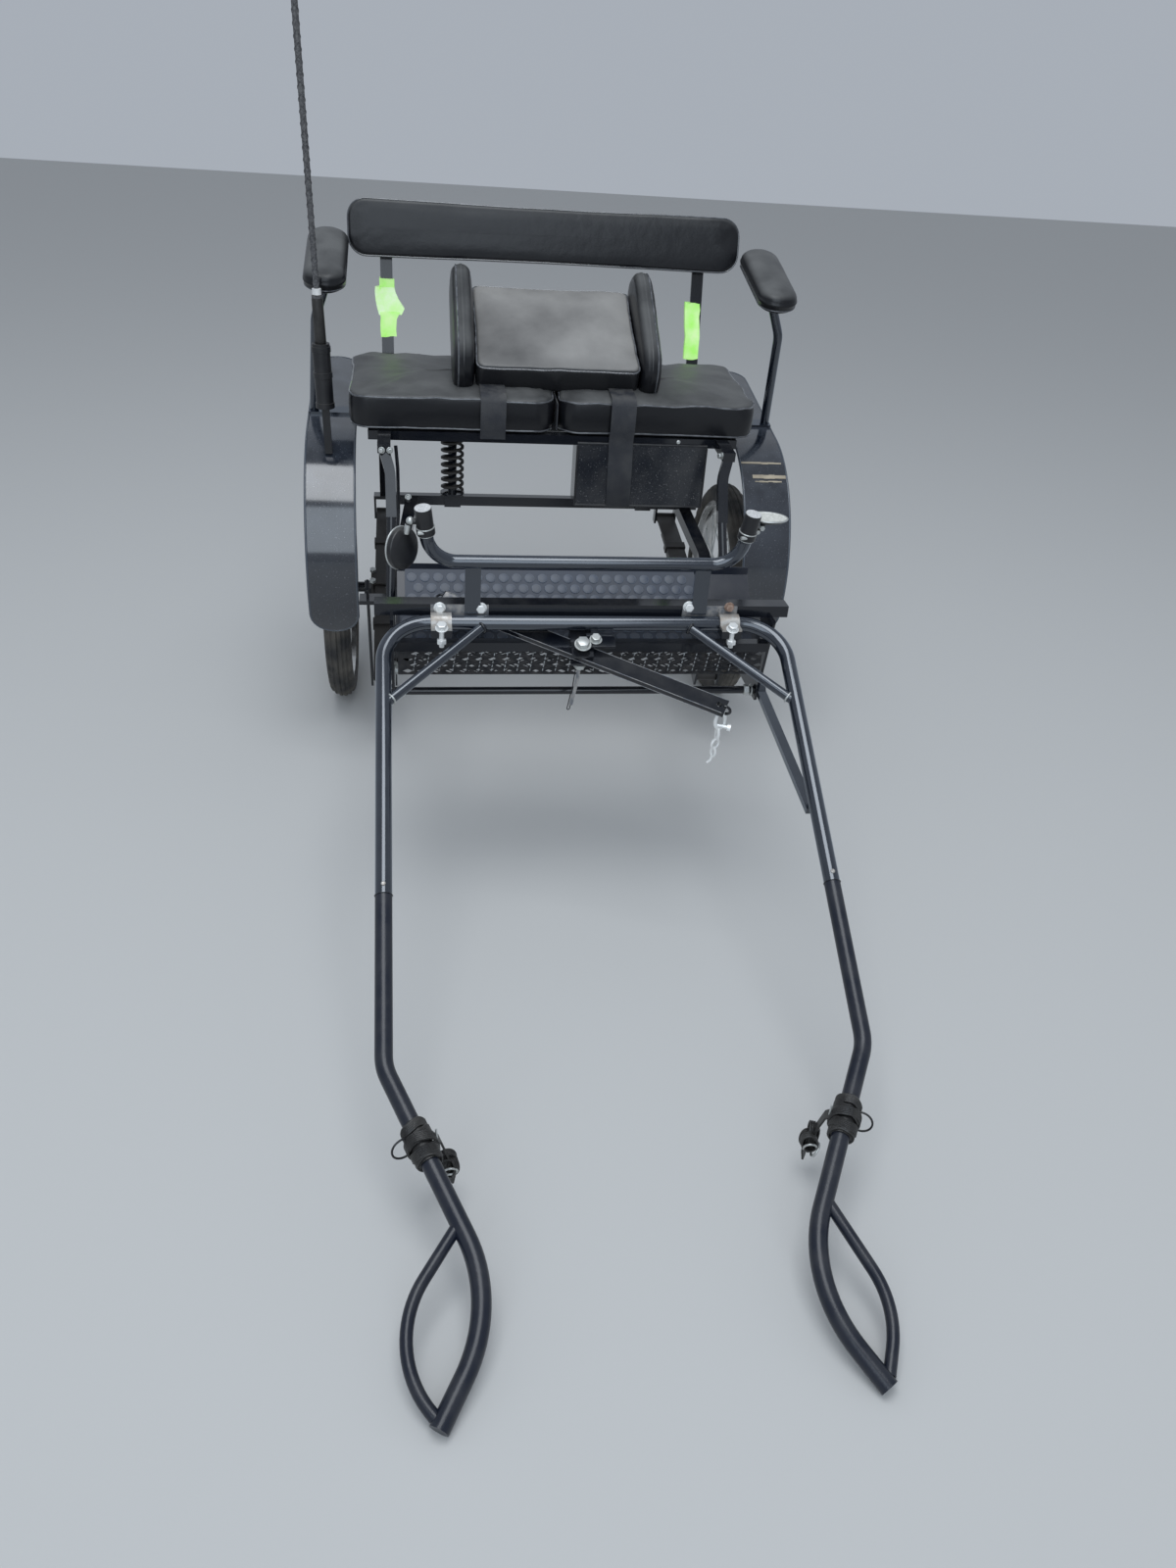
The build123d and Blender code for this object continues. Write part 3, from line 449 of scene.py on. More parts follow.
CHROME = finish_of("chrome", (0.72, 0.72, 0.71), 0.12, metal=1.0, dust_and_sheen=(0.3, 0.27, 0.23), dust_and_sheen_top=0.55, dust_and_sheen_all=0.5,
                   grain=18)
TYRE = finish_of("tyre", (0.022, 0.022, 0.023), 0.75, dust_and_sheen=(0.2, 0.18, 0.15), dust_and_sheen_top=0.5, dust_and_sheen_all=0.5, grain=16,
                 bump=0.3, bump_size=160)
VINYL = finish_of("vinyl", (0.006, 0.0065, 0.0085), 0.28, specular=0.36, dust_and_sheen=(0.15, 0.152, 0.15), dust_and_sheen_top=0.75,
                  dust_and_sheen_all=0.01, grain=12, bump=0.3, bump_size=45, even=True)
PALE_VINYL = finish_of("dusty_vinyl", (0.008, 0.0085, 0.0105), 0.3, dust_and_sheen=(0.36, 0.35, 0.335), dust_and_sheen_top=0.85,
                       dust_and_sheen_all=0.02, grain=5, bump=0.25, bump_size=45, even=True)
# Piping: lighter and glossier than the vinyl it is made of, a painted highlight along the seams
PIPING_HIGHLIGHT = finish_of("piping", (0.05, 0.053, 0.06), 0.16, coat=0.6, dust_and_sheen=(0.3, 0.31, 0.33), dust_and_sheen_top=0.55, dust_and_sheen_all=0.12,
                   grain=60)
MAT = finish_of("mat", (0.024, 0.034, 0.056), 0.5, dust_and_sheen=(0.12, 0.12, 0.12), dust_and_sheen_top=0.35, dust_and_sheen_all=0.2, grain=14)
# Coin studs and their rims: lighter than the mat they are moulded from, a painted highlight on the raised rubber
STUD_HIGHLIGHT = finish_of("mat_stud", (0.04, 0.054, 0.083), 0.38, dust_and_sheen=(0.16, 0.16, 0.16), dust_and_sheen_top=0.4, dust_and_sheen_all=0.3, grain=40)
STUD_RIM_HIGHLIGHT = finish_of("stud_rim", (0.1, 0.125, 0.17), 0.4, dust_and_sheen=(0.2, 0.2, 0.2), dust_and_sheen_top=0.4, dust_and_sheen_all=0.3, grain=50)
SPRING = finish_of("spring", (0.018, 0.016, 0.015), 0.4, dust_and_sheen=(0.05, 0.045, 0.04), dust_and_sheen_top=0.5, dust_and_sheen_all=0.3,
                   grain=35)
LEATHER = finish_of("leather", (0.01, 0.0095, 0.0095), 0.4, dust_and_sheen_top=0.2, dust_and_sheen_all=0.08, bump=0.4, bump_size=400)
GALV = finish_of("mesh_metal", (0.014, 0.015, 0.018), 0.35, metal=0.3, dust_and_sheen=(0.1, 0.09, 0.085), dust_and_sheen_top=0.4,
                 dust_and_sheen_all=0.3, grain=80)
# Mesh glints: a light colour that is a painted highlight
GLINT = finish_of("mesh_glint", (0.4, 0.42, 0.44), 0.4, metal=0.5, dust_and_sheen=(0.1, 0.09, 0.08), dust_and_sheen_top=0.6, dust_and_sheen_all=0.6,
                  grain=90)
PLASTIC = finish_of("plastic", (0.008, 0.0085, 0.0105), 0.34, dust_and_sheen_top=0.2, dust_and_sheen_all=0.03)
BOX_SHELL = finish_of("box_shell", (0.009, 0.011, 0.016), 0.22, coat=0.3, dust_and_sheen=(0.2, 0.19, 0.17), dust_and_sheen_top=0.5,
                      dust_and_sheen_all=0.06, grain=26, spots=(0.16, 0.16, 0.16))
BRAID = finish_of("braid", (0.055, 0.055, 0.06), 0.6, dust_and_sheen=(0.2, 0.2, 0.2), dust_and_sheen_top=0.5, dust_and_sheen_all=0.5, grain=260,
                  bump=0.8, bump_size=420)
# The tapes glow a little: painted light, since tape is no lamp
TAPE = finish_of("tape", (0.42, 0.95, 0.16), 0.45, dust_and_sheen=(0.74, 0.98, 0.5), dust_and_sheen_top=0.9, dust_and_sheen_all=0.8, glow=0.22)
PALE_TAPE = finish_of("pale_tape", (0.6, 0.95, 0.36), 0.4, dust_and_sheen=(0.82, 0.98, 0.72), dust_and_sheen_top=1.0, dust_and_sheen_all=1.0,
                      grain=36, glow=0.22)
WHITE = finish_of("white_tape", (0.7, 0.7, 0.69), 0.5, dust_and_sheen=(0.4, 0.4, 0.4), dust_and_sheen_top=0.5, dust_and_sheen_all=0.5, grain=120)
CAP = finish_of("end_cap", (0.62, 0.62, 0.62), 0.6, dust_and_sheen=(0.32, 0.32, 0.32), dust_and_sheen_top=0.7, dust_and_sheen_all=0.3, grain=300)
WEB = finish_of("webbing", (0.02, 0.022, 0.028), 0.65, dust_and_sheen_top=0.3, dust_and_sheen_all=0.1, bump=0.6, bump_size=700)
GLASS = finish_of("mirror_glass", (0.82, 0.84, 0.86), 0.05, metal=1.0, dust_and_sheen=(0.5, 0.5, 0.48), dust_and_sheen_top=0.2,
                  dust_and_sheen_all=0.1)
DUSTY_GLASS = finish_of("dusty_mirror", (0.5, 0.5, 0.46), 0.8, dust_and_sheen=(0.8, 0.8, 0.75), dust_and_sheen_top=0.9, dust_and_sheen_all=0.8,
                        grain=220)
SCUFF = finish_of("scuff", (0.42, 0.36, 0.27), 0.6, dust_and_sheen=(0.2, 0.17, 0.13), dust_and_sheen_top=0.5, dust_and_sheen_all=0.5, grain=28)
# Black fender paint: the blue in its colour and the blue-grey laid on its tops and faces are a painted sky sheen; the
# grey spots are dust
FENDER_PAINT_AND_SHEEN = finish_of("fender_paint_and_sheen", (0.008, 0.011, 0.018), 0.1, coat=1.0, coat_ior=1.56, dust_and_sheen=(0.13, 0.15, 0.185),
                   dust_and_sheen_top=0.35, dust_and_sheen_all=0.06, grain=14, spots=(0.12, 0.125, 0.14))

# The look of each carried-over node goes by how its name starts, the first that fits. The rest is paint.
PAINTED_BY = {
    "tyre": TYRE, "rim": CHROME, "hub": ZINC, "rail_plates": WORN, "clamp_straps": STRAP, "seat_cushion": VINYL,
    "arm_pad": VINYL, "backrest": VINYL, "booster": VINYL, "floor_mat": MAT, "leaf": SPRING, "coil": SPRING,
    "tug": LEATHER, "mesh": GALV, "dash_grips": PLASTIC, "whip_holder": PLASTIC, "whip": BRAID, "mirror": PLASTIC,
    "storage_box": BOX_SHELL, "shaft_frame": TUBE_PAINT_AND_BLUE_SHEEN, "dash_rail": TUBE_PAINT_AND_BLUE_SHEEN, "arm_tube": TUBE_PAINT_AND_BLUE_SHEEN, "shaft_stay": TUBE_PAINT_AND_BLUE_SHEEN,
    "shaft_end": SATIN_AND_BLUE_SHEEN, "floor_tray": SATIN_AND_BLUE_SHEEN, "fender": FENDER_PAINT_AND_SHEEN,
}
for name, node in nodes.items():
    material = next((m for start, m in PAINTED_BY.items() if name.startswith(start)), PAINT)
    node.data.materials.clear()
    node.data.materials.append(material)


def leg(y, side):
    """The middle of a leg of the shaft frame at some Y."""
    return Vector((side * LEG_X, y, CROSS_Z + LEG_FALL * (y - CROSS_Y)))


# Seat, pads and their piping
def rounded_outline(half_x, half_y, radius, corner_steps=9, run_steps=10):
    """A rectangle with round corners, as points in its own plane, the long runs divided."""
    points = []
    for quarter, (i, j) in enumerate(((1, 1), (-1, 1), (-1, -1), (1, -1))):
        centre = (i * (half_x - radius), j * (half_y - radius))
        for k in range(corner_steps + 1):
            a = pi / 2 * (quarter + k / corner_steps)
            points.append((centre[0] + radius * cos(a), centre[1] + radius * sin(a)))
        nxt = ((-1, 1), (-1, -1), (1, -1), (1, 1))[quarter]
        a = pi / 2 * (quarter + 1)
        end = (nxt[0] * (half_x - radius) + radius * cos(a), nxt[1] * (half_y - radius) + radius * sin(a))
        start = points[-1]
        for k in range(1, run_steps):
            t = k / run_steps
            points.append((start[0] + (end[0] - start[0]) * t, start[1] + (end[1] - start[1]) * t))
    return points


def pillow(name, node, at, turn, half_x, half_y, thick, corner, crown, under=0.0, bulge=2.0, pull=4.0, crease=1.2,
           edge=12.0, seams=(1,), material=VINYL, lift=0.0, cord=1.9):
    """A stuffed pad with crowned faces, round edges, sides pulled in between its corners, and piping on its seams."""
    outline = rounded_outline(half_x, half_y, corner)
    half = thick / 2
    short = min(half_x, half_y)
    insets = [u for u in (0.97, 0.8, 0.6, 0.42, 0.28, 0.17) if u * short > edge * 1.3]
    swell = lambda inset: 1 - (1 - (inset - edge) / (short - edge)) ** 3
    turns = [pi / 2 * k / 5 for k in range(6)]
    levels = [(u * short, -half - under * swell(u * short)) for u in insets]
    levels += [(edge * (1 - sin(a)), -half + edge * (1 - cos(a))) for a in turns]
    levels += [(-bulge * cos(a), (half - edge) * sin(a)) for a in (-pi / 4, 0, pi / 4)]
    levels += [(edge * (1 - sin(a)), half - edge * (1 - cos(a))) for a in reversed(turns)]
    levels += [(u * short, half + crown * swell(u * short)) for u in reversed(insets)]

    def waist(across, along, k):
        """How far a side pulls in, most at its middle and less toward the middle of the pad."""
        return pull * cos(pi / 2 * max(-1, min(1, along))) ** 2 * min(1, abs(across) * 1.4) * max(0.0, k)

    def point(x, y, inset, z):
        """A point of the outline drawn inwards, at a height, with its folds."""
        kx, ky = 1 - inset / half_x, 1 - inset / half_y
        waist_x, waist_y = waist(x / half_x, y / half_y, kx), waist(y / half_y, x / half_x, ky)
        px = x * kx - (waist_x if x > 0 else -waist_x)
        py = y * ky - (waist_y if y > 0 else -waist_y)
        fold = noise.noise(Vector((px, py * 1.3, z * 2.5)) / 42 + Vector(at) / 97) * crease
        fine = noise.noise(Vector((px, py, z)) / 15 + Vector(at) / 53) * crease * 0.35
        raised = lift * max(0.0, z / half) * max(0.0, (0.5 - py / half_y) / 1.5)
        raised += (1 if z > 0 else -0.4) * (fold + fine)
        return Vector(at) + turn @ Vector((px + fold * 0.5, py + fold * 0.5, z + raised))

    piece = Piece(name, material)
    piece.rings([[point(x, y, inset, z) for x, y in outline] for inset, z in levels])
    pad = piece.made(smooth=180)
    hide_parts(*([node] if isinstance(node, str) else node))
    for seam in seams:
        # The piping's lighter colour is a painted highlight along the seam
        trim = Piece(f"{name}_piping_{'top' if seam > 0 else 'low'}", PIPING_HIGHLIGHT)
        path = [point(x, y, edge * 0.12 - 0.4, seam * (half - edge * 0.55)) for x, y in outline]
        trim.tube(path, cord, 8, closed=True)
        trim.made()
    return pad


seat_turn = turned(x=SEAT_TILT)
for side, s in SIDES:
    middle = Vector((s * (CUSHION_GAP + CUSHION_W / 2), SEAT_DEPTH / 2, CUSHION_T / 2 + 1))
    pillow(f"cushion_{side}", f"seat_cushion_{side}", Vector(SEAT_AT) + seat_turn @ middle, seat_turn,
           CUSHION_W / 2 - 1, SEAT_DEPTH / 2 - 2, CUSHION_T - 2, 42, 8, seams=(1, -1), crease=3.6, edge=9)
booster_turn = turned(x=BOOSTER_TILT)
middle = Vector((4, SEAT_AT[1] + 50, SEAT_AT[2] + 118)) + booster_turn @ Vector((0, 118, -24))
pillow("booster_seat", "booster_pad", middle, booster_turn, BOOSTER[0] / 2 - 2, BOOSTER[1] / 2 - 2, BOOSTER[2] - 3,
       16, 7, bulge=1.5, pull=2, crease=2.0, edge=7, lift=9, material=PALE_VINYL)
wing_turn = turned(x=34) @ Matrix(((0, 0, 1), (1, 0, 0), (0, 1, 0)))
for side, s in SIDES:
    at = (4 + s * (BOOSTER[0] / 2 + 22.4), SEAT_AT[1] + 168, SEAT_AT[2] + 165)
    pillow(f"booster_wing_{side}", "booster_wings", at, wing_turn, WING_LEN / 2 - 2, WING_W / 2 - 2, WING_T - 4,
           62, 4, under=3, bulge=1, pull=0, edge=17, seams=(s,))
back_turn = turned(x=BACK_TILT) @ Matrix(((1, 0, 0), (0, 0, -1), (0, 1, 0)))
pillow("backrest_cushion", "backrest_pad", BACK_AT, back_turn, BACK_HALF - 2, BACK_H / 2 - 2, BACK_T - 4, 38, 3,
       under=3, bulge=1, pull=2, crease=1.6, edge=7, cord=1.8)
arm_turn = turned(x=ARM_TILT)
for side, s in SIDES:
    pillow(f"armrest_{side}", f"arm_pad_{side}", (s * ARM_AT[0], *ARM_AT[1:]), arm_turn, *ARM_HALF, 40, 37, 3,
           bulge=1, pull=0, seams=(-1,), crease=0.8, edge=17, cord=1.5)

# Webbing over the seat front
web = Piece("webbing", WEB)
for x, low in WEBS:
    path = [(x, y, z) for y, z in WEB_RUN] + [(x, BOX_FRONT_Y - 4, WEB_TURN_Z)]
    if low < WEB_TURN_Z:
        path += [(x + 2, BOX_FRONT_Y - 2.4, 640), (x + 3, BOX_FRONT_Y - 2.4, low + 6), (x + 3, BOX_FRONT_Y + 6, low)]
    web.strip(path, WEB_W, WEB_T)
web.strip([(0, y, z) for y, z in GAP_RUN], 52, 2.4, (0, 0, 1))
web.made(smooth=60)


# Tape round the uprights
def wrapped(name, material, s, sections):
    """Crumpled tape round an upright: each section has a height and its two edges across."""
    dice = random.Random(name)
    rings = []
    for z, left, right in sections:
        y = UPRIGHT_FOOT[0] + (z - UPRIGHT_FOOT[1]) * UPRIGHT_RISE
        jog = [dice.uniform(-0.8, 0.8) for _ in range(8)]
        x0, x1 = s * UPRIGHT_X + left, s * UPRIGHT_X + right
        xs = [x0, x0 + (x1 - x0) * 0.33, x0 + (x1 - x0) * 0.67, x1]
        front_side = [(x, y - TAPE_DEEP + jog[i], z + jog[i] * 2) for i, x in enumerate(xs)]
        rear_side = [(x, y + TAPE_DEEP + jog[4 + i], z + jog[4 + i] * 2) for i, x in enumerate(reversed(xs))]
        rings.append(front_side + rear_side)
    Piece(name, material).rings(rings).made(smooth=25)


wrapped("tape_left_top", TAPE, -1, [(926, -15, 16), (918, -15, 16), (906, -15, 16)])
wrapped("tape_left_wide", PALE_TAPE, -1, [(909, -24, 16), (900, -25, 18), (886, -24, 24), (868, -21, 36),
                                          (856, -17, 30)])
wrapped("tape_left_low", TAPE, -1, [(862, -15, 27), (850, -14, 20), (838, -15, 19), (826, -15, 18), (813, -14, 19)])
wrapped("tape_right", TAPE, 1, [(905, -24, 8), (892, -24, 10), (876, -23, 9), (858, -22, 11), (838, -19, 13),
                                (815, -20, 12), (792, -20, 12)])

# Front rail, clamps and shaft frame
bolts = Piece("rail_bolts", BRIGHT)
for x, z in RAIL_BOLTS:
    bolts.bolt((x, RAIL_FACE_Y, z), (0, -1, 0), 14, 8)
bolts.made(smooth=30, bevel=0.6)
rusty = Piece("rusty_bolt", RUST)
rusty.bolt((RUSTY_BOLT[0], RAIL_FACE_Y, RUSTY_BOLT[1]), (0, -1, 0), 12, 7.5)
rusty.made(smooth=30, bevel=0.6)
clamp_bolts = Piece("clamp_bolts", BRIGHT)
for side, s in SIDES:
    clamp_bolts.bolt((s * CLAMP_X, CLAMP_BOLT_Y, STRAP_TOP_Z), (0, -0.35, 1), 15, 9)
    for z, profile, sides in ((CLAMP_SHANK_Z, [(0, 4.2), (32, 4.2)], 16),
                              (CLAMP_NUT_Z, [(0, 7), (1, 8.4), (8, 8.4), (9, 7)], 6)):
        clamp_bolts.lathe((s * CLAMP_X, CLAMP_BOLT_Y - 1.5, z), (0, 0, 1), profile, sides)
clamp_bolts.made(smooth=30, bevel=0.5)

beads = Piece("weld_beads", PAINT)
marks = Piece("weld_marks", ZINC)
for side, s in SIDES:
    low = Vector((s * BRACE_X, CROSS_Y, CROSS_Z))
    high = leg(BRACE_Y, s)
    run = (high - low).normalized()
    for piece, at, thick in ((beads, low + run * 14.5, 2.6), (marks, high - run * 17, 1.7)):
        ring = circle_path(at, run, BRACE_R + 0.6, 26)
        radii = [thick * (0.8 + 0.35 * ((i * 7) % 5) / 4) for i in range(26)]
        piece.tube(ring, radii, 8, closed=True)
beads.made(smooth=60)
marks.made(smooth=60)

splices = Piece("splice_rings", PAINT)
screws = Piece("splice_screws", STRAP)
for side, s in SIDES:
    at = leg(SPLICE_Y, s)
    splices.tube(circle_path(at, LEG_RUN, TUBE_R + 0.2, 32), 0.9, 8, closed=True)
    head = at - Vector(LEG_RUN) * 14 + Vector(LEG_UP) * (TUBE_R - 0.6)
    screws.lathe(head, LEG_UP, [(0, 3.6), (1.8, 3.4), (2.6, 2.0)], 12)
    tab = leg(TAB_Y, s) - Vector(LEG_UP) * (TUBE_R + 9)
    screws.bolt(tab + Vector((s * 4.5, 0, 0)), (s, 0, 0), 10, 5)
splices.made()
screws.made(smooth=30)

# Leather turns, a wire ring, the hanging bundle and its buckles on each shaft
for side, s in SIDES:
    run = Vector((-s * TUG_IN[side], *TUG_RUN)).normalized()
    middle = Vector((s * TUG_X[side], TUG_Y, TUG_Z))
    inner, up, _ = frame_of(run)
    if inner.x * s > 0:
        inner = -inner
    down = Vector((0, 0, -1))
    tug = Piece(f"tug_{side}", LEATHER)
    sleeve = [(0, TUBE_R + 0.4), (0, TUBE_R + 3.0), (2 * TUG_HALF, TUBE_R + 3.0), (2 * TUG_HALF, TUBE_R + 0.4)]
    tug.lathe(middle - run * TUG_HALF, run, sleeve, 28)
    for i, (along, lean_up, lean_in, grow) in enumerate(TUG_TURNS):
        lean = run + up * lean_up + inner * lean_in
        flat = circle_path(middle + run * along, lean, TUBE_R + 3.2 + grow, 40)
        for shift in TUG_CORDS:
            wave = [p + run * (shift + 0.8 * sin(k * 0.6 + i)) for k, p in enumerate(flat)]
            tug.tube(wave, 2.1, 6, closed=True)
    dice = random.Random(side)
    knot = middle + inner * KNOT_IN + down * KNOT_DROP
    for _ in range(6):
        across = Vector((dice.uniform(-1, 1), dice.uniform(-1, 1), dice.uniform(-0.4, 0.4))).normalized()
        wide, tall = dice.uniform(9, 14), dice.uniform(13, 19)
        at = knot + Vector((dice.uniform(-6, 6), dice.uniform(-8, 8), dice.uniform(-7, 7)))
        for shift in (-3, 0, 3):
            side_step = across.cross(-down).normalized() * shift
            tug.tube(oval_path(at + side_step, across, wide, tall, 26), 1.9, 6, closed=True)
    tug.strip([middle + inner * 17 + up * 8, middle + inner * 26 - up * 4, knot - down * 14, knot], 15, 3, run)
    tug.strip([knot + down * 4, knot + inner * 8 + down * 18, knot + inner * 4 + down * 34], 14, 2.6, run)
    made = tug.made(smooth=50)
    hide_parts(f"tug_strap_{side}")
    ring = Piece(f"tug_wire_{side}", PLASTIC)
    ring.tube(circle_path(middle - inner * 21 - up * 7 - run * 8, run + up * 0.4, 16, 30), 1.5, 8, closed=True)
    ring.made()
    buckle = Piece(f"tug_buckle_{side}", ZINC)
    for at, facing, radius, thick in ((knot - inner * (18 - 9 * s) + down * 14, inner + up * 0.5, 10, 1.9),
                                      (knot - inner * 2 - down * 2 + run * 12, run - inner * 0.4, 9, 1.7)):
        buckle.tube(circle_path(at, facing, radius), thick, 8, closed=True)
    buckle.lathe(middle + inner * 21 + up * 6, up - run * 0.5, [(-14, 1.5), (12, 1.5)], 8)
    buckle.made()

# Dash rail ends and mirrors
sleeves = Piece("grip_sleeves", PLASTIC)
caps = Piece("grip_caps", CAP)
hoops = Piece("hose_clamps", ZINC)
for side, s in SIDES:
    lean = Vector((s * GRIP_LEAN[0], GRIP_LEAN[1], GRIP_LEAN[2])).normalized()
    top = Vector((DASH_SHIFT + s * GRIP_HALF, DASH_Y + GRIP_END[0], GRIP_END[1]))
    sleeves.lathe(top, lean, [(-15, DASH_R + 2.9), (GRIP_LEN + 0.6, DASH_R + 2.7)], 32)
    sleeves.lathe(top, lean, [(-29, DASH_R + 1.2), (-28, DASH_R + 4), (-17, DASH_R + 4), (-16, DASH_R + 2)], 32)
    caps.lathe(top, lean, [(GRIP_LEN + 0.4, DASH_R + 2.2), (GRIP_LEN + 1.6, DASH_R + 1.8),
                           (GRIP_LEN + 2.0, DASH_R - 1)], 32)
    for down, out, thick in ((16, 3.4, 1.1), (29, 2.6, 0.7)):
        hoops.tube(circle_path(top - lean * down, lean, DASH_R + out, 32), thick, 8, closed=True)
    hoops.lathe(top - lean * 23 + Vector((-7, -12.5, 0)), (-1, -0.2, 0), [(-6, 3.2), (6, 3.2)], 10)
sleeves.made(bevel=0.5)
caps.made()
hoops.made()
head = Piece("mirror_head_right", PLASTIC)
at, out = Vector(MIRROR_AT["right"]) + Vector((1, 0, 1)), Vector((0.0, 0.075, 1.0)).normalized()
faces = {"left": (Vector(MIRROR_AT["left"]), Vector(MIRROR_FACE["left"]).normalized()),
         "right": (at - out * (MIRROR_T / 2 - 1.2), out)}
head.lathe(at, out, MIRROR_HEAD, 44)
stem = [at - out * 6 + Vector((-4, -2, 0)), at + Vector((-10, -6, -16)), at + Vector((-42, -34, -15))]
head.tube(rounded_path(stem, 8), 4.4, 12)
made = head.made(smooth=50)
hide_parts("mirror_right")
for side, s in SIDES:
    at, out = faces[side]
    rim = Piece(f"mirror_rim_{side}", ZINC)
    rim.tube(circle_path(at + out * (MIRROR_T / 2 - 0.6), out, MIRROR_R - 0.4, 40), 1.5, 8, closed=True)
    rim.made()
    glass = Piece(f"mirror_glass_{side}", GLASS if s < 0 else DUSTY_GLASS)
    glass.lathe(at + out * (MIRROR_T / 2 - 0.2), out, [(0, MIRROR_R - 1.5), (0.6, MIRROR_R - 2)], 40)
    glass.made()
at, out = faces["left"]
shell = Piece("mirror_back_left", PLASTIC)
shell.lathe(at - out * (MIRROR_T / 2 - 0.5), -out, MIRROR_BACK, 40)
shell.made(smooth=60)
joint = Piece("mirror_joints", ZINC)
ball = [(-6.5 * cos(a), 6.5 * sin(a) + 0.05) for a in (pi * i / 10 for i in range(11))]
joint.lathe((-292, -831, 703), (0.2, 0, 1), ball, 20)
joint.lathe((-299, -831, 682), (0.25, 0, 1), [(0, 4.9), (15, 4.9)], 16)
joint.lathe((284, -815, 695), (0.2, -1, 0.1), [(-4, 4.6), (4, 4.6)], 6)
joint.lathe((276, -820, 690), (0.2, -1, 0.1), [(-3, 3.4), (4, 3.4)], 12)
joint.made(smooth=40)

# Coin studs of the mat, the expanded mesh and the cross rod's ends
# The studs and rims carry lighter colours than the mat: painted highlights
studs = Piece("mat_studs", STUD_HIGHLIGHT)
rims = Piece("stud_rims", STUD_RIM_HIGHLIGHT)
foot = Vector((0, *MAT_FOOT))
stud = [(-0.6, STUD_R - 0.6), (1.5, STUD_R - 0.8), (1.7, STUD_R - 1.6)]
stud_rim = [(-0.6, STUD_R - 0.7), (-0.6, STUD_R + 0.4), (1.3, STUD_R - 0.3), (1.3, STUD_R - 0.8)]
for length, tilt, x0, x1 in MAT_RUNS:
    ahead = Vector((0, cos(radians(tilt)), sin(radians(tilt))))
    normal = Vector((0, -sin(radians(tilt)), cos(radians(tilt))))
    row = 0
    t = STUD_START
    while t < length - 4:
        x = x0 + STUD_R + 3 + (STUD_PITCH / 2 if row % 2 else 0)
        while x < x1 - STUD_R - 1:
            at = foot + ahead * t + Vector((x, 0, 0))
            studs.lathe(at, normal, stud, 20)
            rims.band(at, normal, stud_rim, 20)
            x += STUD_PITCH
        t += STUD_ROW
        row += 1
    foot += ahead * length
studs.made(smooth=35)
rims.made(smooth=35)

# Dark strands across the mesh's holes: a denser mesh, and partly painted shade in place of the shadow behind it
strands = Piece("mesh_strands", GALV)
# Light spots on the mesh: painted highlights where its strands would catch the light
glints = Piece("mesh_glints", GLINT)
for j in range(STRANDS):
    x, z = STRAND_START + (STRAND_STEP / 2 if j % 2 else 0), LIP_Z - 50 + STRAND_PITCH * j
    strands.tube([(x + STRAND_STEP * i, LIP_Y - 4, z + (STRAND_WAVE if i % 2 else -STRAND_WAVE))
                  for i in range(STRAND_POINTS)], 1.3, 5)
for i in range(GLINTS):
    for j in range(GLINT_ROWS):
        x = GLINT_START + GLINT_STEP * i - 1.1 * j
        glints.box((x, LIP_Y - 5.6, LIP_Z - 15 - GLINT_PITCH * j), (1.5, 0.9, 4.4), turned(y=8 + 5 * (j % 2)))
    if i % 2:
        glints.box((x + 5, LIP_Y - 5.6, LIP_Z - 12), (9, 0.8, 1.1), turned(y=-14))
strands.made(smooth=60)
glints.made(smooth=0)

rod_ends = Piece("rod_nuts", ZINC)
rod_nut = [(-5, ROD_R + 1.5), (-4, ROD_R + 3.2), (4, ROD_R + 3.2), (5, ROD_R + 1.5)]
for side, s in SIDES:
    rod_ends.lathe((s * (PLATE_X - 16), ROD_Y, ROD_Z), (1, 0, 0), rod_nut, 6)
    rod_ends.lathe((s * (PLATE_X - 7), ROD_Y, ROD_Z), (1, 0, 0), [(-1, ROD_R + 4), (1, ROD_R + 4)], 20)
    for y, z in ((20, 30), (60, 20)):
        rod_ends.bolt((s * (PLATE_X - 3), ROD_Y + y, ROD_Z + z), (-s, 0, 0), 11, 6)
rod_ends.made(smooth=30)

# Swingletree: bolts, the clip that hangs below and the shackle with its chain
tilt = turned(x=SWING_TILT)
at_pivot = lambda x, y, z: Vector(PIVOT) + tilt @ Vector((x, y, z))
axis = tilt @ Vector((0, 0, 1))
pins = Piece("swing_bolts", ZINC)
pins.bolt(at_pivot(0, 0, 21.5), axis, 20, 9)
pins.lathe(at_pivot(0, 0, -34), axis, [(0, 9), (1, 11.6), (9, 11.6), (10, 9)], 6)
pins.lathe(at_pivot(0, 0, -40), axis, [(0, 5.4), (8, 5.4)], 16)
pins.bolt(at_pivot(23, 12, 20), axis, 15, 8)
pins.made(smooth=30, bevel=0.5)
plate = Piece("swing_plate", PAINT)
plate.box(at_pivot(32, 12, 17.5), (48, 30, 4), tilt)
plate.made(smooth=0, bevel=0.8)
clip = Piece("swing_clip", WORN)
hang = at_pivot(0, 0, -36)
clip.strip([hang + Vector(p) for p in ((0, 0, 0), (-2, -2, -22), (-7, -3, -52), (-11, -3, -72))], 6, 1.6)
clip.made(smooth=40)
loop = Piece("swing_wire", PLASTIC)
wire = ((2, 3, 2), (-2, 1, -30), (-13, 0, -84), (-17, 0, -82), (-9, 0, -36), (-5, 3, 0))
loop.tube(rounded_path([hang + Vector(p) for p in wire], 2.5, 4), 0.9, 8)
loop.made()

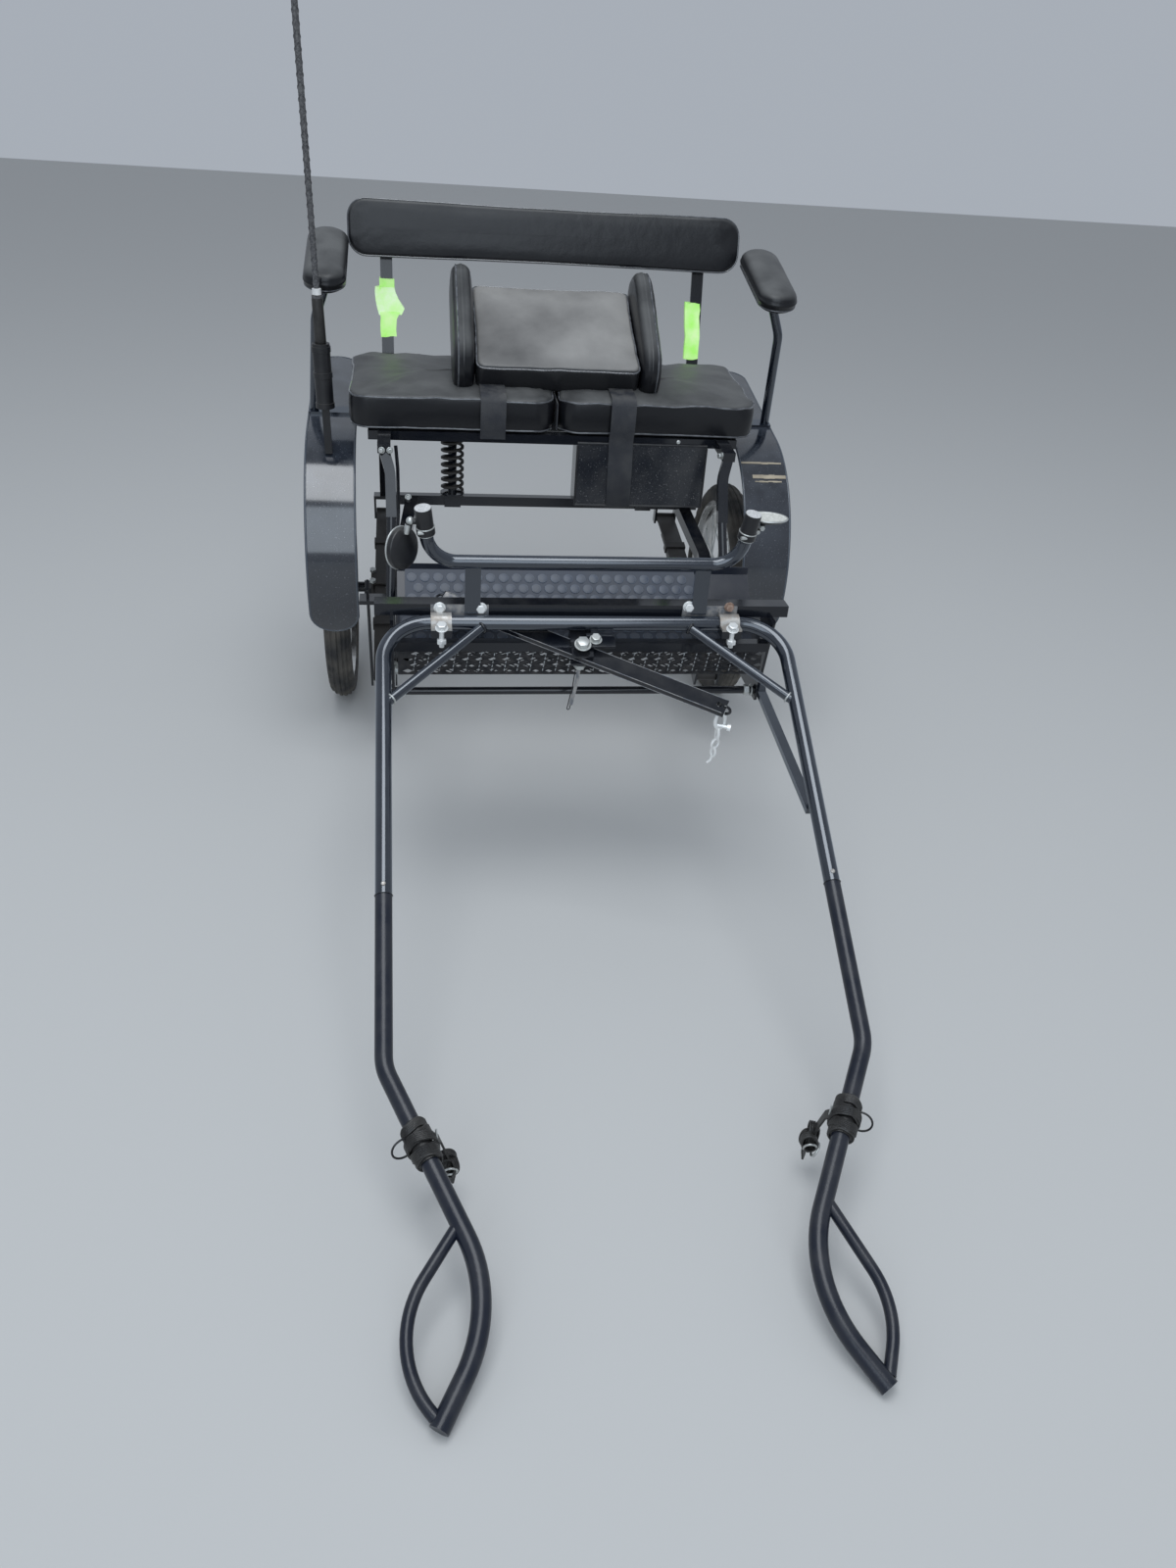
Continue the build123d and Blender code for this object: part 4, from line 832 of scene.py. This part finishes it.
bar_turn = tilt @ turned(z=SWING_YAW)
on_bar = lambda x, y, z: Vector(PIVOT) + bar_turn @ Vector((x, y, z))
eye, far_eye = on_bar(EYE_X, 0, 0), on_bar(-EYE_X, 0, 0)
out = bar_turn @ Vector((1, 0, 0))
hooks = Piece("eye_hooks", PAINT, "swingletree")
shackle = [eye + out * (12 + 9 * cos(a)) + axis * (9 * sin(a) - 3) for a in (2 * pi * i / 24 for i in range(24))]
hooks.tube(shackle, 2.6, 10, closed=True)
hooks.tube(circle_path(far_eye - out * 13, axis, 9), 2.1, 10, closed=True)
hooks.made()
wear = Piece("bar_wear", WORN, "swingletree")
half_x, half_y, half_z = BAR_HALF
wear.box(on_bar(-236, 0, half_z + 0.2), (44, 27, 0.5), bar_turn)
for y, z in ((-half_y, half_z), (-half_y, -half_z), (half_y, half_z)):
    wear.tube([on_bar(x, y, z) for x in (-half_x, -90, 60, 200, half_x)], 0.55, 6)
wear.made(smooth=40)
chain = Piece("trace_chain", BRIGHT, "swingletree")
low = eye + out * 12 - axis * 8 - Vector((4, 0, 0))
for drop, tall, wide, thick, way in LINKS:
    across = Vector((cos(way), sin(way), 0))
    centre = low - Vector((drop * 0.08, 0, drop))
    chain.tube(oval_path(centre, across, wide / 2, tall / 2), thick, 8, closed=True)
chain.lathe(low + Vector((2, -3, -25)), (1, -0.35, -0.1), [(-13, 3.4), (9, 3.4), (9, 6.4), (15, 6.4)], 12)
chain.tube([low + Vector((-7, 0, -82)), low + Vector((-9, 0, -92)), low + Vector((-15, 0, -97))], 2.2, 8)
chain = chain.made()
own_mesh(chain)

# Seat bolts, box screws and the thin rod beside the left side bar
fix = Piece("seat_bolts", ZINC)
for at, out, across, head in (((-344, -363.5, 681), (-0.3, -1, 0), 9, 7), ((-329, -363.5, 681), (0.2, -1, 0), 9, 6),
                              ((327, -352, 684), (-1, -0.3, 0), 10, 8), ((-296, -212, 541), (0, -1, 0.2), 10, 7),
                              ((443, -158, 938), (0, -0.5, -0.8), 12, 5)):
    fix.bolt(at, out, across, head)
for x in (112, 250):
    fix.lathe((x, BOX_FRONT_Y + 0.4, 691), (0, -1, 0), [(0, 4.4), (1.6, 4.2), (2.6, 2.8)], 14)
fix.made(smooth=30, bevel=0.4)
stalk = Piece("thin_rod", PAINT)
stalk.tube(rounded_path([(-318, -338, 683), (-315, -342, 640), (-315, -348, 560), (-319, -372, 505)], 30, 6), 3.6, 10)
stalk.made()
lips = Piece("box_edges", PLASTIC)
for z in (BOX_LOW_Z + 2, BOX_TOP_Z):
    lips.tube([(x, BOX_FRONT_Y, z) for x in (BOX_ENDS[0], 180, BOX_ENDS[1])], 2.2, 8)
for x in BOX_ENDS:
    lips.tube([(x, BOX_FRONT_Y, z) for z in (BOX_LOW_Z + 1, BOX_TOP_Z - 5)], 2.2, 8)
lips.made()

# Suspension: bolts round the leaves, and the clips that hold them together
clamps = Piece("spring_u_bolts", SPRING)
nuts = Piece("spring_nuts", ZINC)
leaf_turn = turned(x=LEAF_TILT)
on_leaf = lambda x, y, z: Vector((x, 0, AXLE_Z)) + leaf_turn @ Vector((0, y, z))
up = leaf_turn @ Vector((0, 0, 1))
for side, s in SIDES:
    x = s * LEAF_X + LEAF_SHIFT
    high = BEAM_TOP + LEAF_STACK
    for z in (high + 2.6, -27):
        clamps.box(on_leaf(x, 0, z), SPRING_PLATE, leaf_turn)
    for y in (-U_BOLT_Y, U_BOLT_Y):
        for dx in (-1, 1):
            foot = on_leaf(x + dx * (LEAF_W / 2 + 4.8), y, -34)
            clamps.tube([foot, foot + up * (high + 46)], 4, 10)
            nuts.lathe(foot + up * (high + 39), up, [(0, 7), (0.8, 7.6), (6.5, 7.6), (7.2, 6.6)], 6)
            nuts.lathe(foot + up, up, [(0, 6.6), (0.8, 7.2), (5, 7.2), (5.6, 6.4)], 6)
    for y in (-LEAF_CLIP_Y, LEAF_CLIP_Y):
        clamps.box(on_leaf(x, y, BEAM_TOP + 7), (LEAF_W + 6, 22, 20), leaf_turn)
clamps.made(smooth=40, bevel=0.8)
nuts.made(smooth=30)


# Fender edges, their lighter colour a painted highlight, and scuffs
def fender_at(t, lift=0.0):
    """Where the fender's middle line is after a run of t from its front end, as Y and Z, with its angle."""
    r = FENDER_R + lift
    low, high = radians(FENDER_LOW), radians(90 + FENDER_SLOPE)
    arc = (low - high) * FENDER_R
    if t < arc:
        a = low - t / FENDER_R
        return FENDER_Y + r * cos(a), FENDER_Z + r * sin(a)
    t -= arc
    return (FENDER_Y + r * cos(high) + t * cos(radians(FENDER_SLOPE)),
            FENDER_Z + r * sin(high) + t * sin(radians(FENDER_SLOPE)))


fender_arc = (radians(FENDER_LOW) - radians(90 + FENDER_SLOPE)) * FENDER_R
flat_run = FENDER_BACK_Y - FENDER_Y - FENDER_R * cos(radians(90 + FENDER_SLOPE))
fender_len = fender_arc + flat_run / cos(radians(FENDER_SLOPE))
edges = Piece("fender_edges", EDGE_HIGHLIGHT)
half = FENDER_W / 2 - 1.6
for side, s in SIDES:
    path = []
    for way in (-1, 1):
        run = []
        for i in range(-9, 61):
            if i < 0:
                a = pi / 2 * (i + 9) / 9
                t, x = half - half * cos(a) + 0.8, half * sin(a)
            elif i < 52:
                t, x = half + (fender_len - 2 * half) * i / 52, half
            else:
                a = pi / 2 * (i - 51) / 9
                t, x = fender_len - half + half * sin(a) - 0.8, half * cos(a)
            run.append((s * FENDER_X + way * s * x, *fender_at(t, -FENDER_T / 2)))
        path += run[::-way]
    edges.tube(path, EDGE_R, 8, closed=True)
edges.made(smooth=60)
scuffs = Piece("fender_scuffs", SCUFF)
dice = random.Random(5)
for x0, x1, t0, deep in SCUFFS:
    width = (x1 - x0) / 6
    for i in range(6):
        low, high = t0 + dice.uniform(-0.7, 0.7), t0 + deep + dice.uniform(-0.7, 0.7)
        path = [Vector((x0 + width * (i + 0.5), *fender_at(low + (high - low) * k / 3, 0.35))) for k in range(4)]
        scuffs.strip(path, width * 1.02, 0.3)
scuffs.made(smooth=40)

# Tyres with ribs and blocks, hub caps
centre_r = WHEEL_R - TYRE_CORE
bead = [(BEAD_X, RIM_FLANGE_R - 3), (BEAD_X, BEAD_R), (-BEAD_X, BEAD_R), (-BEAD_X, RIM_FLANGE_R - 3)]
for side, s in SIDES:
    middle = Vector((s * WHEEL_X, 0, AXLE_Z))
    tyre = Piece(f"tread_{side}", TYRE, f"wheel_{side}")
    rings = []
    for k in range(TREAD_COUNT):
        a = 2 * pi * k / TREAD_COUNT
        out = Vector((0, sin(a), cos(a)))
        ring = []
        for i in range(TREAD_STEPS + 1):
            phi = -TREAD_EDGE + 2 * TREAD_EDGE * i / TREAD_STEPS
            r = TYRE_CORE
            if abs(phi) >= CROWN:
                r -= WALL_STEP
            elif min(abs(phi - g) for g in GROOVES) < GROOVE_HALF:
                r -= GROOVE_DEEP
            elif abs(phi) > SHOULDER and k % 4 == 0:
                r -= BLOCK_DEEP
            elif abs(phi) < SHOULDER and (k + (2 if phi > 0 else 0)) % 8 == 0:
                r -= SIPE_DEEP
            ring.append(middle + Vector((r * sin(radians(phi)), 0, 0)) + out * (centre_r + r * cos(radians(phi))))
        ring += [middle + Vector((x, 0, 0)) + out * r for x, r in bead]
        rings.append(ring)
    tyre.rings(rings, closed=True)
    made = tyre.made(smooth=28)
    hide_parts(f"tyre_{side}")
    cap = Piece(f"hub_cap_{side}", CHROME, f"wheel_{side}")
    for way in (-1, 1):
        start = middle + Vector((way * (HUB_HALF - 0.4), 0, 0))
        cap.band(start, (way, 0, 0), [(0, 10), (0, 15.5), (2.2, 15.5), (3.4, 14), (3.4, 10)], 36)
    cap.made()
axle_nuts = Piece("axle_nuts", ZINC)
for side, s in SIDES:
    axle_nuts.band((s * (STUB_END - 4.6), 0, AXLE_Z), (s, 0, 0),
                   [(-3.4, 7.9), (-3.4, 12), (3, 12), (4, 10.6), (4, 7.9)], 6)
axle_nuts.made(smooth=20)

# Whip and its holder
stand = Vector(WHIP_RUN).normalized()
low = Vector(HOLDER_LOW)
grip = Piece("whip_grip", LEATHER)
grip.lathe(low, stand, [(118, 10.2), (120, 11.2), (196, 10.6), (204, 9.4), (206, 6.2)], 24)
grip.made(smooth=40)
band = Piece("whip_band", WHITE)
band.lathe(low, stand, [(205, 7.2), (205.5, 8.6), (216, 8.4), (216.5, 7)], 24)
band.made()
braid = Piece("whip_braid", BRAID)
side_way, up_way, _ = frame_of(stand)
for way in (-1, 1):
    for phase in (0, pi):
        path = []
        for i in range(BRAID_STEPS + 1):
            along = BRAID_LOW + BRAID_LEN * i / BRAID_STEPS
            a = way * 2 * pi * BRAID_TURNS * i / BRAID_STEPS + phase
            path.append(low + stand * along + (side_way * cos(a) + up_way * sin(a)) * (5.5 + 0.6 * i / BRAID_STEPS))
        braid.tube(path, 0.75, 5)
braid.made(smooth=60)
ferrule = Piece("holder_bands", PLASTIC)
for along in (2, 60, 108):
    ferrule.band(low + stand * along, stand, [(-6, 16), (-5, 18.4), (5, 18.4), (6, 16)], 32)
ferrule.made()

# Camera, light and floor
scene = bpy.context.scene
cam = bpy.data.objects.new("camera", bpy.data.cameras.new("camera"))
scene.collection.objects.link(cam)
scene.camera = cam
axes = Matrix((CAMERA_RIGHT, tuple(-v for v in CAMERA_DOWN), tuple(-v for v in CAMERA_AHEAD))).transposed()
cam.matrix_world = Matrix.Translation(CAMERA_AT) @ axes.to_4x4()
cam.data.sensor_fit = "AUTO"
cam.data.sensor_width, cam.data.lens = 36.0, LENS
cam.data.clip_start, cam.data.clip_end = 0.05, 60

floor = bpy.data.meshes.new("floor")
floor.from_pydata([(-15, -15, 0), (15, -15, 0), (15, 15, 0), (-15, 15, 0)], [], [(0, 1, 2, 3)])
pale = bpy.data.materials.new("floor")
pale.use_nodes = True
look = pale.node_tree.nodes["Principled BSDF"].inputs
look["Base Color"].default_value = (0.55, 0.55, 0.54, 1)
look["Roughness"].default_value = 0.9
floor.materials.append(pale)
ground = bpy.data.objects.new("floor", floor)
scene.collection.objects.link(ground)

world = bpy.data.worlds.new("world")
scene.world = world
world.use_nodes = True
sky = world.node_tree.nodes["Background"].inputs
sky["Color"].default_value = (0.78, 0.85, 0.95, 1)
sky["Strength"].default_value = 0.5


def lamp(name, at, toward, size, power, color):
    """A square lamp, turned to a place."""
    data = bpy.data.lights.new(name, "AREA")
    data.shape, data.size, data.energy, data.color = "SQUARE", size, power, color
    light = bpy.data.objects.new(name, data)
    scene.collection.objects.link(light)
    light.location = at
    light.rotation_mode = "QUATERNION"
    light.rotation_quaternion = (Vector(toward) - Vector(at)).to_track_quat("-Z", "Y")


lamp("front_sky", (-1.6, -8.2, 4.9), (-0.2, -0.4, 0.4), 7.5, 340, (0.8, 0.9, 1.0))
lamp("overhead", (-0.3, -0.9, 4.4), (0, 0.1, 0.3), 2.6, 85, (0.92, 0.96, 1.0))
scene.view_settings.view_transform = "Standard"
